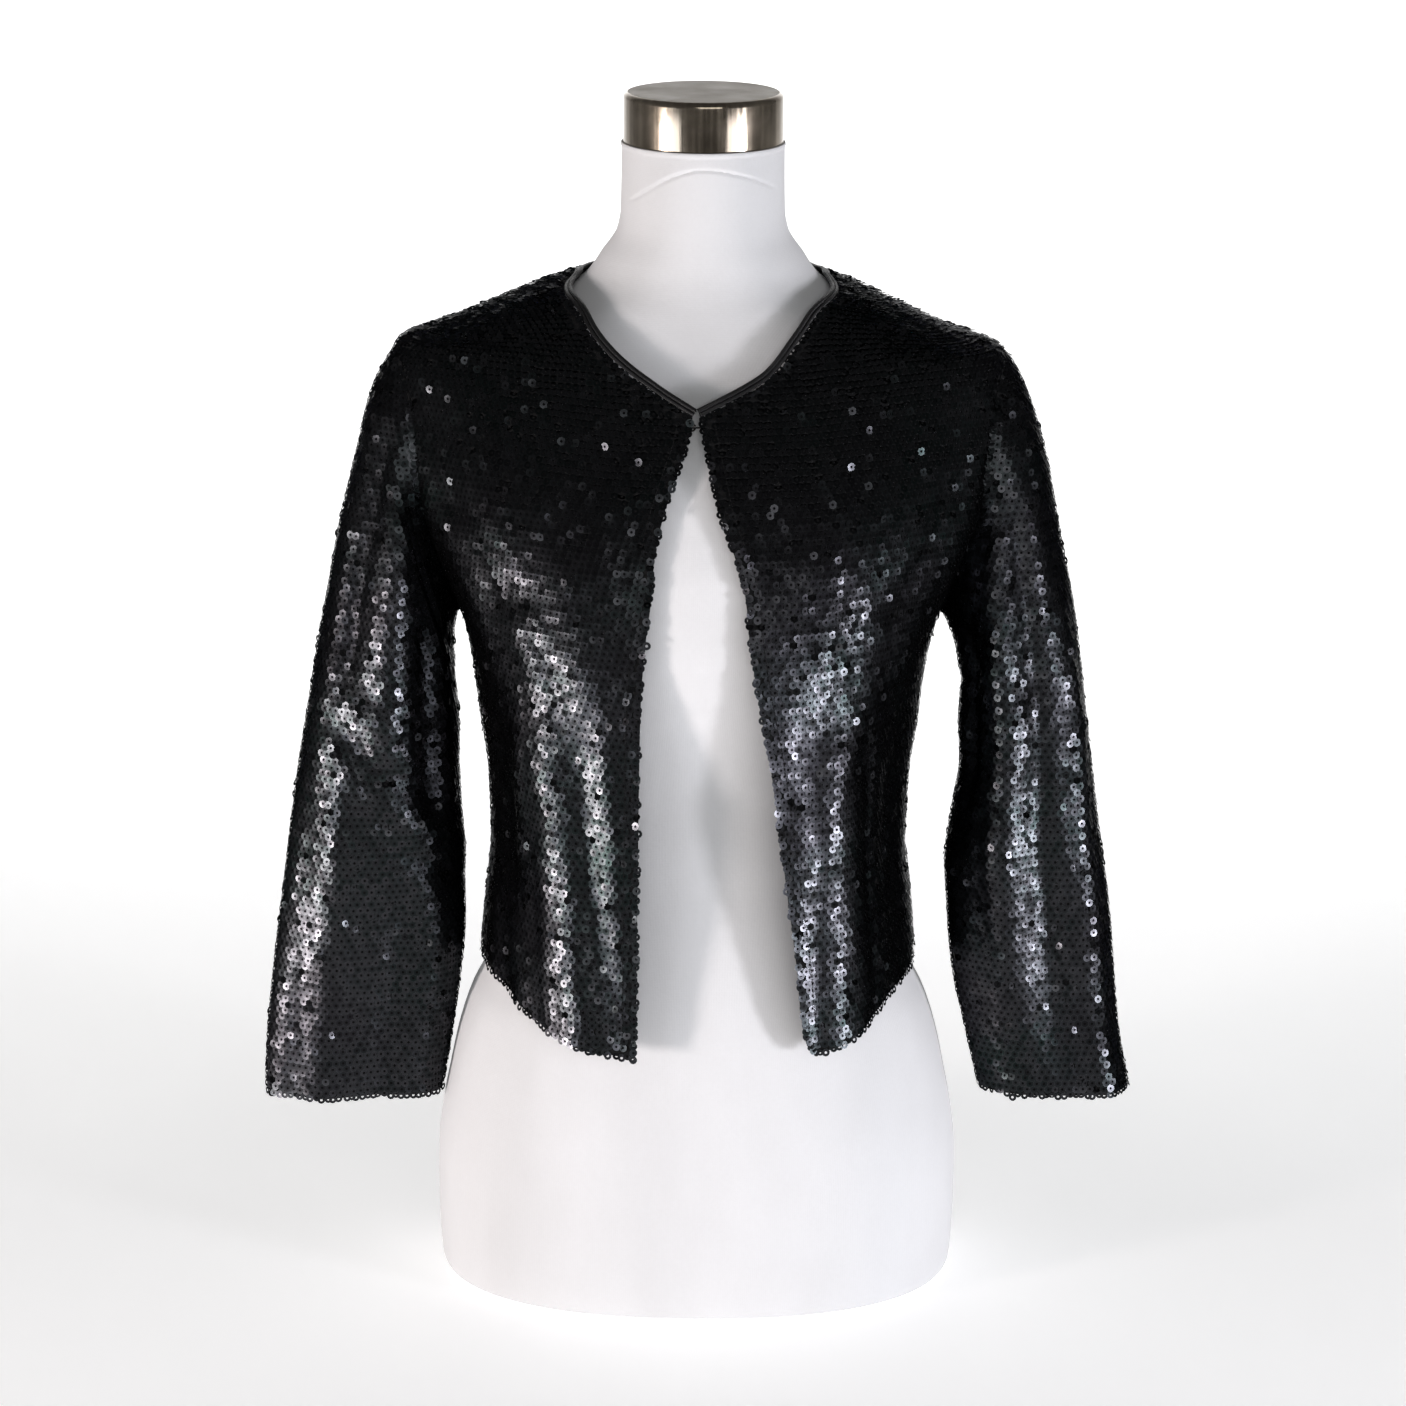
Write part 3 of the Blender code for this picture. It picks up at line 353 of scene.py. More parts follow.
# Folds along a sleeve: the turn of its line at both ends, 0 at the outer edge, 90 in front.
RIGHT_SLEEVE_FOLDS = (
    SleeveFold(52.0, 0.10, 58.0, 0.52, 13.0, -0.0050),
    SleeveFold(88.0, 0.15, 96.0, 0.60, 13.0, 0.0045),
    SleeveFold(122.0, 0.22, 132.0, 0.62, 12.0, -0.0050),
    SleeveFold(66.0, 0.60, 70.0, 1.00, 14.0, 0.0040),
    SleeveFold(112.0, 0.70, 108.0, 1.00, 13.0, -0.0035),
    SleeveFold(232.0, 0.16, 246.0, 0.60, 13.0, -0.0045),
    SleeveFold(284.0, 0.20, 292.0, 0.90, 14.0, 0.0040),
)
LEFT_SLEEVE_FOLDS = (
    SleeveFold(74.0, 0.10, 80.0, 0.92, 12.0, -0.0045),
    SleeveFold(106.0, 0.12, 110.0, 0.92, 13.0, 0.0050),
    SleeveFold(143.0, 0.16, 148.0, 0.60, 11.0, -0.0050),
    SleeveFold(40.0, 0.40, 46.0, 1.00, 12.0, 0.0045),
    SleeveFold(236.0, 0.16, 250.0, 0.66, 13.0, -0.0045),
    SleeveFold(288.0, 0.22, 286.0, 0.92, 14.0, 0.0040),
)

# Finer creases that only the visible cloth has
BODY_CREASES = (
    Fold(-20.0, 0.200, -27.0, 0.420, 3.2, 0.0016),
    Fold(-27.5, 0.190, -34.0, 0.380, 2.8, -0.0014),
    Fold(-44.0, 0.200, -46.0, 0.330, 3.0, 0.0013),
    Fold(-57.0, 0.300, -52.0, 0.420, 3.0, 0.0014),
    Fold(36.0, 0.200, 33.0, 0.380, 3.0, -0.0014),
    Fold(55.0, 0.220, 49.0, 0.400, 3.2, -0.0014),
    Fold(41.0, 0.420, 60.0, 0.520, 3.4, 0.0013),
    Fold(-44.0, 0.420, -62.0, 0.520, 3.4, 0.0013),
    Fold(104.0, 0.190, 107.0, 0.400, 3.2, -0.0015),
    Fold(133.0, 0.200, 131.0, 0.400, 3.4, 0.0015),
    Fold(165.0, 0.200, 160.0, 0.380, 3.4, 0.0014),
    Fold(-106.0, 0.190, -110.0, 0.380, 3.2, -0.0015),
    Fold(-137.0, 0.200, -133.0, 0.390, 3.4, 0.0015),
    Fold(-168.0, 0.200, -163.0, 0.370, 3.4, 0.0014),
    Fold(148.0, 0.480, 128.0, 0.560, 4.0, 0.0014),
    Fold(-148.0, 0.480, -130.0, 0.560, 4.0, 0.0014),
)
SLEEVE_CREASES = {
    -1: (
        SleeveCrease(95.0, 0.560, 55.0, 0.018, 0.020, -0.0018),
        SleeveCrease(110.0, 0.615, 50.0, 0.020, 0.030, 0.0016),
        SleeveCrease(120.0, 0.670, 45.0, 0.018, 0.025, -0.0018),
        SleeveCrease(75.0, 0.500, 40.0, 0.018, -0.025, 0.0013),
        SleeveCrease(140.0, 0.190, 40.0, 0.020, 0.040, -0.0016),
        SleeveCrease(250.0, 0.560, 50.0, 0.022, 0.020, -0.0016),
        SleeveCrease(240.0, 0.640, 50.0, 0.022, -0.020, 0.0015),
    ),
    1: (
        SleeveCrease(150.0, 0.300, 45.0, 0.020, 0.040, -0.0018),
        SleeveCrease(140.0, 0.380, 40.0, 0.020, 0.040, 0.0015),
        SleeveCrease(120.0, 0.600, 45.0, 0.020, 0.020, -0.0014),
        SleeveCrease(60.0, 0.540, 40.0, 0.022, -0.020, 0.0012),
        SleeveCrease(250.0, 0.560, 50.0, 0.022, 0.020, -0.0016),
        SleeveCrease(240.0, 0.650, 50.0, 0.022, -0.020, 0.0015),
    ),
}


class Side(Enum):
    """The two sides of the jacket, named as the wearer has them."""

    LEFT = 1
    RIGHT = -1

    @property
    def column(self) -> str:
        """The name of this side's column in the tables."""
        return self.name.lower()


def eased(knots: Sequence[float], values: Sequence[float], at: Array) -> Array:
    """Read values from a table along a smooth curve that never overshoots its rows.

    Args:
        knots: The rows' places, rising.
        values: The rows' values.
        at: Where to read.

    Returns:
        The value at each place.
    """
    knots, values = np.array(knots, float), np.array(values, float)
    steps = np.diff(knots)
    slopes = np.diff(values) / steps
    tangents = np.empty(len(knots))
    tangents[0], tangents[-1] = slopes[0], slopes[-1]
    steady = slopes[:-1] * slopes[1:] > 0
    total = np.where(steady, slopes[:-1] + slopes[1:], 1.0)
    tangents[1:-1] = np.where(steady, 2 * slopes[:-1] * slopes[1:] / total, 0.0)
    at = np.clip(at, knots[0], knots[-1])
    row = np.clip(np.searchsorted(knots, at) - 1, 0, len(knots) - 2)
    t = (at - knots[row]) / steps[row]
    start = (1 + 2 * t) * (1 - t) ** 2 * values[row] + t * (1 - t) ** 2 * steps[row] * tangents[row]
    end = t * t * (3 - 2 * t) * values[row + 1] + t * t * (t - 1) * steps[row] * tangents[row + 1]
    return start + end


def column(table: Sequence[NamedTuple], name: str) -> list[float]:
    """List one column of a table."""
    return [getattr(row, name) for row in table]


def read(table: Sequence[NamedTuple], name: str, key: str, at: Array) -> Array:
    """Read one column of a table at values of its key column."""
    return eased(column(table, key), column(table, name), at)


def smooth_step(t: Array) -> Array:
    """Ease from 0 to 1 as t goes from 0 to 1."""
    t = np.clip(t, 0.0, 1.0)
    return t * t * (3 - 2 * t)


def unit(vectors: Array) -> Array:
    """Scale each vector to a length of 1."""
    return vectors / np.linalg.norm(vectors, axis=-1, keepdims=True)


def normals_of(surface: Surface, first: Array, second: Array, steps: tuple[float, float]) -> Array:
    """Find which way a surface faces from the points a small step to each side.

    Args:
        surface: The surface, as a function of its two parameters.
        first: The first parameter at each place.
        second: The second parameter at each place.
        steps: How far to step along each parameter.

    Returns:
        A direction of length 1 at each place.
    """
    a, b = steps
    along_first = surface(first + a, second) - surface(first - a, second)
    along_second = surface(first, second + b) - surface(first, second - b)
    return unit(np.cross(along_first, along_second))


def shoulder_drop(x: Array, z: Array) -> Array:
    """Say how far the +X shoulder hangs below its place in the tables."""
    return SHOULDER_DROP * smooth_step((x - 0.075) / 0.07) * smooth_step((z - 0.52) / 0.08)


def ripple(first: Array, second: Array) -> Array:
    """Give the small unevenness of hanging sequinned cloth, from -1 to 1.

    Args:
        first: A place across the cloth, in metres.
        second: A place along the cloth, in metres.

    Returns:
        The unevenness at each place.
    """
    slow = np.sin(first * 88.0 + 1.3 * np.sin(second * 31.0) + 0.4)
    quick = np.sin(first * 171.0 - second * 23.0 + 1.9) * np.sin(second * 61.0 + first * 37.0)
    return 0.6 * slow + 0.4 * quick


@dataclass(frozen=True)
class BodySurface:
    """A body wrapped round the upright axis, read by turn from centre front and height."""

    table: tuple[Girth, ...]
    folds: tuple[Fold, ...] = ()
    unevenness: float = 0.0

    def plain(self, turn: Array, z: Array) -> Array:
        """Find the point at each turn and height, before any folds.

        Args:
            turn: Degrees from centre front towards +X.
            z: Height in the table.

        Returns:
            The points.
        """
        angle = np.radians(turn)
        in_front = np.cos(angle) > 0
        half_width = read(self.table, "half_width", "z", z)
        front, back = read(self.table, "front", "z", z), read(self.table, "back", "z", z)
        front_square = read(self.table, "front_square", "z", z)
        back_square = read(self.table, "back_square", "z", z)
        depth = np.where(in_front, front, back)
        square = np.where(in_front, front_square, back_square)
        sideways, forwards = np.abs(np.sin(angle)), np.abs(np.cos(angle))
        reach = ((sideways / half_width) ** square + (forwards / depth) ** square) ** (-1 / square)
        x, y = reach * np.sin(angle), BODY_AXIS_Y - reach * np.cos(angle)
        return np.stack([x, y, z - shoulder_drop(x, z)], axis=-1)

    def fold_height(self, turn: Array, z: Array) -> Array:
        """Say how far the folds and the unevenness move the cloth out.

        Args:
            turn: Signed turns from centre front.
            z: Heights in the table.

        Returns:
            The distance at each place.
        """
        height = np.zeros(np.broadcast(turn, z).shape)
        for fold in self.folds:
            along = (z - fold.low_z) / (fold.high_z - fold.low_z)
            line = fold.low_turn + (fold.high_turn - fold.low_turn) * np.clip(along, 0.0, 1.0)
            across = np.exp(-(((turn - line) / fold.spread) ** 2))
            ends = smooth_step((along + 0.15) / 0.3) if fold.low_z > 0.25 else 1.0
            height = height + fold.height * across * ends * smooth_step((1.15 - along) / 0.5)
        return height + self.unevenness * ripple(turn * METRES_PER_DEGREE, z)

    def point(self, turn: Array, z: Array) -> Array:
        """Find the point of the folded outer face at each turn and height."""
        outward = normals_of(self.plain, turn, z, BODY_STEPS)
        return self.plain(turn, z) + outward * self.fold_height(turn, z)[..., None]

    def outward(self, turn: Array, z: Array) -> Array:
        """Find which way the folded outer face looks at each turn and height."""
        return normals_of(self.point, turn, z, BODY_STEPS)

    def turn_at(self, x: Array, z: Array) -> Array:
        """Find the turn at which the front is a distance to the side.

        Args:
            x: The distance from centre front, towards +X.
            z: Height in the table.

        Returns:
            The turn at each place.
        """
        half_width = read(self.table, "half_width", "z", z)
        depth = read(self.table, "front", "z", z)
        square = read(self.table, "front_square", "z", z)
        forwards = depth * (1 - (np.abs(x) / half_width) ** square) ** (1 / square)
        return np.degrees(np.arctan2(x, forwards))


JACKET_SURFACE = BodySurface(JACKET, BODY_FOLDS + BODY_CREASES, BODY_UNEVENNESS)
FORM_SURFACE = BodySurface(FORM)


def hem_z(turn: Array) -> Array:
    """Find the height of the bottom edge.

    Args:
        turn: Signed turns from centre front.

    Returns:
        The height at each turn.
    """
    right = read(HEM, "right", "turn", np.abs(turn))
    left = read(HEM, "left", "turn", np.abs(turn))
    return np.where(np.asarray(turn) > 0, left, right)


def signed(turn: Array) -> Array:
    """Bring turns into the range from -180 up to 180."""
    return (turn + 180.0) % 360.0 - 180.0


def armhole(around: Array) -> tuple[Array, Array]:
    """Find the +X armhole seam.

    Args:
        around: Degrees round the seam, 0 at the shoulder and 90 in front.

    Returns:
        The turn and the height at each place.
    """
    angle = np.radians(around)
    cut = np.where(np.sin(angle) > 0, ARMHOLE_FRONT_TURN, ARMHOLE_BACK_TURN)
    z = UNDERARM_Z + (SHOULDER_Z - UNDERARM_Z) * (1 + np.cos(angle)) / 2
    return 90.0 - cut * np.sin(angle), z


def softened(line: Array, reach: int) -> Array:
    """Round the corners of a line of values, and keep its ends.

    Args:
        line: The values.
        reach: Over how many values to each side a corner is rounded.

    Returns:
        The rounded line.
    """
    window = np.hanning(2 * reach + 1)
    padded = np.pad(line, reach, mode="reflect", reflect_type="odd")
    return np.convolve(padded, window / window.sum(), "valid")


def neck_seam_turns(side: Side, count: int) -> tuple[Array, Array]:
    """Find the line of a front's neck seam.

    Args:
        side: Which front it is.
        count: How many places to find.

    Returns:
        The turns and the heights, from the front edge up to the shoulder.
    """
    edge_x = float(read(FRONT_EDGES, side.column, "z", THROAT_Z))
    xs = [edge_x, *[side.value * x for x in column(NECK_SEAM, side.column)]]
    zs = [THROAT_Z, *column(NECK_SEAM, "z")]
    turns = [float(JACKET_SURFACE.turn_at(x, z)) for x, z in zip(xs, zs)] + [side.value * 90.0]
    zs.append(NECK_POINT_Z)
    knots = np.linspace(0.0, 1.0, len(zs))
    fine, at = np.linspace(0.0, 1.0, NECK_FINENESS), np.linspace(0.0, 1.0, count)
    lines = [softened(eased(knots, line, fine), NECK_ROUNDING) for line in (turns, zs)]
    return np.interp(at, fine, lines[0]), np.interp(at, fine, lines[1])


def back_neck_line(count: int) -> tuple[Array, Array]:
    """Find the line of the back's neck seam, from the +X side to the -X side.

    Args:
        count: How many places to find.

    Returns:
        The turns and the heights.
    """
    turn = np.linspace(90.0, 270.0, count)
    rise = smooth_step(np.abs(turn - 180.0) / 90.0)
    return turn, BACK_NECK_Z + (NECK_POINT_Z - BACK_NECK_Z) * rise


def coons(left: Array, right: Array, bottom: Array, top: Array) -> Array:
    """Fill the four edge lines of a panel with a grid.

    Args:
        left: The line from the first bottom corner up.
        right: The line from the last bottom corner up.
        bottom: The line from the first bottom corner across.
        top: The line from the first top corner across.

    Returns:
        Turns and heights, across first and then up.
    """
    u = np.linspace(0.0, 1.0, len(bottom))[:, None, None]
    v = np.linspace(0.0, 1.0, len(left))[None, :, None]
    sides = (1 - u) * left[None] + u * right[None]
    ends = (1 - v) * bottom[:, None] + v * top[:, None]
    low, high = (1 - v) * left[0] + v * left[-1], (1 - v) * right[0] + v * right[-1]
    return sides + ends - (1 - u) * low - u * high


def side_line(side: int, rows: int, low_rows: int, front: bool) -> Array:
    """Follow a panel's outer edge up the side seam and round the armhole to the shoulder.

    Args:
        side: 1 at +X and -1 at -X.
        rows: How many places to find.
        low_rows: How many of them are below the underarm.
        front: Whether the panel is a front.

    Returns:
        Turns and heights.
    """
    zs = np.linspace(float(hem_z(90.0)), UNDERARM_Z, low_rows + 1)
    around = np.linspace(180.0, 0.0 if front else 360.0, rows - low_rows)
    arm_turn, arm_z = armhole(around)
    turns = np.concatenate([np.full(low_rows, 90.0), arm_turn])
    return np.stack([side * turns, np.concatenate([zs[:-1], arm_z])], axis=-1)


@dataclass(frozen=True)
class SleeveSurface:
    """A set-in sleeve, read by the angle round it and the share of the way to the cuff."""

    side: int

    def section(self, around: Array, down: Array) -> Array:
        """Find the plain section's point, without folds or the armhole's own shape.

        Args:
            around: Degrees round the sleeve, 0 outside and 90 in front.
            down: Share of the way from the armhole to the cuff.

        Returns:
            The points.
        """
        table = LEFT_SLEEVE if self.side > 0 else RIGHT_SLEEVE
        knots = np.linspace(0.0, 1.0, len(table))
        values = {name: eased(knots, column(table, name), down) for name in Section._fields}
        angle = np.radians(around)
        outwards, forwards = np.cos(angle), np.sin(angle)
        total = np.abs(outwards) ** SLEEVE_SQUARE + np.abs(forwards) ** SLEEVE_SQUARE
        reach = total ** (-1 / SLEEVE_SQUARE)
        depth = np.where(forwards > 0, values["front"], values["back"])
        half_x = (values["outer_x"] - values["inner_x"]) / 2
        half_z = (values["outer_z"] - values["inner_z"]) / 2
        x = (values["outer_x"] + values["inner_x"]) / 2 + half_x * reach * outwards
        z = (values["outer_z"] + values["inner_z"]) / 2 + half_z * reach * outwards
        y = BODY_AXIS_Y + values["shift"] - depth * reach * forwards
        return np.stack([self.side * x, y, z], axis=-1)

    def plain(self, around: Array, down: Array) -> Array:
        """Find the section's point with the armhole's shape faded in towards the top.

        Args:
            around: Degrees round the sleeve, 0 outside and 90 in front.
            down: Share of the way from the armhole to the cuff.

        Returns:
            The points.
        """
        turn, z = armhole(around)
        gap = [self.side * SLEEVE_GAPS * SEAM_GAP, 0.0, 0.0]
        seam = JACKET_SURFACE.point(self.side * turn, z) + gap
        offset = seam - self.section(around, np.zeros(np.shape(around)))
        fade = 1 - smooth_step(down / ARMHOLE_BLEND)
        return self.section(around, down) + offset * fade[..., None]

    def fold_height(self, around: Array, down: Array) -> Array:
        """Say how far folds, creases and unevenness move the cloth out.

        Args:
            around: Degrees round the sleeve, 0 outside and 90 in front.
            down: Share of the way from the armhole to the cuff.

        Returns:
            The distance at each place.
        """
        height = np.zeros(np.shape(around))
        for fold in LEFT_SLEEVE_FOLDS if self.side > 0 else RIGHT_SLEEVE_FOLDS:
            along = (down - fold.top) / (fold.low - fold.top)
            line = fold.top_turn + (fold.low_turn - fold.top_turn) * np.clip(along, 0.0, 1.0)
            away = signed(np.mod(around, 360.0) - line)
            across = np.exp(-((away / fold.spread) ** 2))
            low_end = 1.0 if fold.low >= 1.0 else smooth_step((1.15 - along) / 0.4)
            height = height + fold.height * across * smooth_step((along + 0.1) / 0.35) * low_end
        for crease in SLEEVE_CREASES[self.side]:
            away = signed(np.mod(around, 360.0) - crease.around)
            line = crease.down + crease.slope * away / 45.0
            across = np.exp(-(((down - line) / crease.width) ** 2) - (away / crease.reach) ** 2)
            height = height + crease.height * across
        across = np.sin(np.radians(around)) * SLEEVE_RADIUS + SLEEVE_OFFSET
        uneven = ripple(across, down * SLEEVE_LENGTH)
        return height + SLEEVE_UNEVENNESS * uneven * smooth_step(down / 0.1)

    def point(self, around: Array, down: Array) -> Array:
        """Find the point of the folded outer face."""
        outward = self.side * normals_of(self.plain, around, down, SLEEVE_STEPS)
        return self.plain(around, down) + outward * self.fold_height(around, down)[..., None]

    def outward(self, around: Array, down: Array) -> Array:
        """Find which way the folded outer face looks."""
        return self.side * normals_of(self.point, around, down, SLEEVE_STEPS)


class Value:
    """A number or vector in a material, which takes part in plain arithmetic."""

    def __init__(self, graph: "NodeGraph", socket: NodeSocket) -> None:
        """Wrap one output socket of a graph."""
        self.graph = graph
        self.socket = socket

    def _step(self, operation: str, first: "Value | float", second: "Value | float") -> "Value":
        """Add one Math node over two values."""
        made = self.graph.node("ShaderNodeMath", {"operation": operation}, {0: first, 1: second})
        return Value(self.graph, made.outputs[0])

    def __add__(self, other: "Value | float") -> "Value":
        """Add a value."""
        return self._step("ADD", self, other)

    def __radd__(self, other: "Value | float") -> "Value":
        """Be added to a value."""
        return self._step("ADD", other, self)

    def __sub__(self, other: "Value | float") -> "Value":
        """Take a value away."""
        return self._step("SUBTRACT", self, other)

    def __rsub__(self, other: "Value | float") -> "Value":
        """Be taken away from a value."""
        return self._step("SUBTRACT", other, self)

    def __mul__(self, other: "Value | float") -> "Value":
        """Multiply by a value."""
        return self._step("MULTIPLY", self, other)

    def __rmul__(self, other: "Value | float") -> "Value":
        """Multiply a value."""
        return self._step("MULTIPLY", other, self)

    def __pow__(self, other: "Value | float") -> "Value":
        """Raise to a power."""
        return self._step("POWER", self, other)


class NodeTree:
    """A node tree that nodes are added to."""

    def __init__(self, tree: bpy.types.NodeTree) -> None:
        """Take over a tree."""
        self.tree = tree

    def node(self, kind: str, settings: dict, inputs: dict) -> Node:
        """Add one node.

        Args:
            kind: The node's type.
            settings: Its own settings, set first.
            inputs: A number, colour, Value or socket for each of its inputs.

        Returns:
            The node.
        """
        made = self.tree.nodes.new(kind)
        for name, setting in settings.items():
            setattr(made, name, setting)
        for name, given in inputs.items():
            self.put(made.inputs[name], given)
        return made

    def put(self, target: NodeSocket, given: object) -> None:
        """Set a socket to a plain value, or link it to a Value or another socket.

        Args:
            target: The input socket.
            given: The plain value, the Value or the output socket.
        """
        source = given.socket if isinstance(given, Value) else given
        if isinstance(source, NodeSocket):
            self.tree.links.new(source, target)
        else:
            target.default_value = source


class NodeGraph(NodeTree):
    """The node tree of one new material, ending in a Principled shader."""

    def __init__(self, name: str) -> None:
        """Start a material with its shader and its place on the object.

        Args:
            name: The material's name.
        """
        self.material = bpy.data.materials.new(name)
        self.material.use_nodes = True
        super().__init__(self.material.node_tree)
        self.shader = self.tree.nodes["Principled BSDF"]
        self.place = self.node("ShaderNodeTexCoord", {}, {}).outputs["Object"]

    def noise(
        self, scale: float, detail: float, stretch: tuple[float, float, float] = (1.0, 1.0, 1.0)
    ) -> Value:
        """Add a noise pattern on the object's own place.

        Args:
            scale: Waves in a metre.
            detail: How many finer layers it has.
            stretch: How much quicker it changes along X, Y and Z.

        Returns:
            The pattern, near 0.5.
        """
        mapped = self.node("ShaderNodeMapping", {}, {"Vector": self.place, "Scale": stretch})
        made = self.node(
            "ShaderNodeTexNoise",
            {},
            {"Vector": mapped.outputs[0], "Scale": scale, "Detail": detail},
        )
        return Value(self, made.outputs["Fac"])

    def distance(self) -> Value:
        """Measure how far a point is from the object's origin."""
        made = self.node("ShaderNodeVectorMath", {"operation": "LENGTH"}, {0: self.place})
        return Value(self, made.outputs["Value"])

    def threads(self, across: float, turned: float) -> Value:
        """Add evenly spaced threads on the piece's own UV map.

        Args:
            across: Threads in a metre.
            turned: How far the threads are turned, in degrees.

        Returns:
            A wave from 0 between the threads to 1 on each.
        """
        flat = self.node("ShaderNodeUVMap", {"uv_map": "cloth"}, {})
        turn = (0.0, 0.0, math.radians(turned))
        mapped = self.node("ShaderNodeMapping", {}, {"Vector": flat.outputs[0], "Rotation": turn})
        # The Wave texture's bands are 20 units of its scale to a turn.
        made = self.node(
            "ShaderNodeTexWave",
            {"wave_type": "BANDS", "bands_direction": "X"},
            {"Vector": mapped.outputs[0], "Scale": across * math.tau / 20},
        )
        return Value(self, made.outputs["Fac"])

    def spread(self, value: Value, low: float, high: float, to_low: float, to_high: float) -> Value:
        """Map a value's range to another and hold it there."""
        ends = {"Value": value, 1: low, 2: high, 3: to_low, 4: to_high}
        return Value(self, self.node("ShaderNodeMapRange", {"clamp": True}, ends).outputs[0])

    def attribute(self, name: str) -> Value:
        """Read a number kept at each of the mesh's points."""
        settings = {"attribute_name": name, "attribute_type": "GEOMETRY"}
        return Value(self, self.node("ShaderNodeAttribute", settings, {}).outputs["Fac"])

    def mixed(self, share: Value, first: "tuple | NodeSocket", second: tuple) -> NodeSocket:
        """Mix two colours.

        Args:
            share: How much of the second there is.
            first: The first colour, plain or from a socket.
            second: The second colour.

        Returns:
            The mix.
        """
        start = (*first, 1.0) if isinstance(first, tuple) else first
        inputs = {0: share, 6: start, 7: (*second, 1.0)}
        return self.node("ShaderNodeMix", {"data_type": "RGBA"}, inputs).outputs[2]

    def bump(self, height: Value, depth: float, strength: float = 1.0) -> NodeSocket:
        """Turn a height pattern into a relief of this depth in metres."""
        inputs = {"Height": height, "Distance": depth, "Strength": strength}
        return self.node("ShaderNodeBump", {}, inputs).outputs[0]

    def finish(self, **inputs: object) -> Material:
        """Set the shader's sockets.

        Args:
            inputs: What each socket is set or linked to, with _ for a space in its name.

        Returns:
            The material.
        """
        for name, given in inputs.items():
            self.put(self.shader.inputs[name.replace("_", " ")], given)
        return self.material


@dataclass(frozen=True)
class SequinFoil:
    """Thin black sequins with a satin gloss that differs a little from disc to disc, and a painted
    highlight: their colour lightens towards each disc's rim.
    """

    green: tuple[float, float, float] = (0.0070, 0.0120, 0.0112)
    violet: tuple[float, float, float] = (0.0105, 0.0094, 0.0115)
    bright: tuple[float, float, float] = (0.0350, 0.0346, 0.0386)
    metallic: float = 1.0
    # The colour at each disc's rim: a painted highlight, lighter than the face, standing in for
    # light caught by the edge.
    rim: tuple[float, float, float] = (0.060, 0.068, 0.070)
    roughness: tuple[float, float] = (0.23, 0.35)
    edge: tuple[float, float, float, float] = (0.36, 0.36, 0.36, 1.0)

    def material(self) -> Material:
        """Build the material.

        Returns:
            The material.
        """
        graph = NodeGraph("sequin_foil")
        chance, reach = graph.attribute("chance"), graph.attribute("reach")
        scuffs = graph.noise(900.0, 3.0)
        wear = graph.spread(graph.noise(9.0, 2.0), 0.35, 0.65, 0.0, 1.0)
        gloss = chance * 0.7 + wear * 0.3
        # Painted highlight: the colour lightens towards each disc's rim as if its edge caught the
        # light, plus a little of the scuff pattern.
        rim = graph.spread(reach, 0.86, 1.0, 0.0, 0.45) + scuffs * 0.06
        drift = graph.spread(graph.noise(14.0, 2.0), 0.40, 0.62, 0.0, 1.0)
        face = graph.mixed(gloss, graph.mixed(drift, self.green, self.violet), self.bright)
        return graph.finish(
            Base_Color=graph.mixed(rim, face, self.rim),
            Metallic=self.metallic,
            Specular_Tint=self.edge,
            Roughness=graph.spread(1 - gloss + (scuffs - 0.5) * 0.5, 0.0, 1.0, *self.roughness),
            Normal=graph.bump(scuffs, 0.000006),
        )


@dataclass(frozen=True)
class BackingCloth:
    """The plain black knit that carries the sequins."""

    dark: tuple[float, float, float] = (0.0012, 0.0013, 0.0014)
    light: tuple[float, float, float] = (0.0050, 0.0050, 0.0055)
    threads_per_metre: float = 1400.0

    def material(self) -> Material:
        """Build the material.

        Returns:
            The material.
        """
        graph = NodeGraph("backing_cloth")
        warp = graph.threads(self.threads_per_metre, 0.0)
        weft = graph.threads(self.threads_per_metre, 90.0)
        weave = warp * 0.5 + weft * 0.5
        fuzz = graph.noise(700.0, 3.0)
        return graph.finish(
            Base_Color=graph.mixed(weave * 0.7 + fuzz * 0.3, self.dark, self.light),
            Roughness=graph.spread(fuzz, 0.3, 0.7, 0.85, 0.98),
            Specular_IOR_Level=0.15,
            Normal=graph.bump(weave + fuzz * 0.5, 0.00012),
        )


@dataclass(frozen=True)
class Satin:
    """Black satin ribbon with its diagonal float and a soft sheen."""

    dark: tuple[float, float, float] = (0.0020, 0.0020, 0.0022)
    light: tuple[float, float, float] = (0.0060, 0.0058, 0.0062)
    threads_per_metre: float = 2600.0

    def material(self) -> Material:
        """Build the material.

        Returns:
            The material.
        """
        graph = NodeGraph("black_satin")
        floats = graph.threads(self.threads_per_metre, 63.0)
        pull = graph.noise(60.0, 2.0, (1.0, 1.0, 3.0))
        return graph.finish(
            Base_Color=graph.mixed(floats * 0.5 + pull * 0.5, self.dark, self.light),
            Roughness=graph.spread(floats * 0.4 + pull * 0.6, 0.3, 0.7, 0.30, 0.46),
            Normal=graph.bump(floats * 0.3 + pull, 0.00025),
            Specular_IOR_Level=0.22,
        )


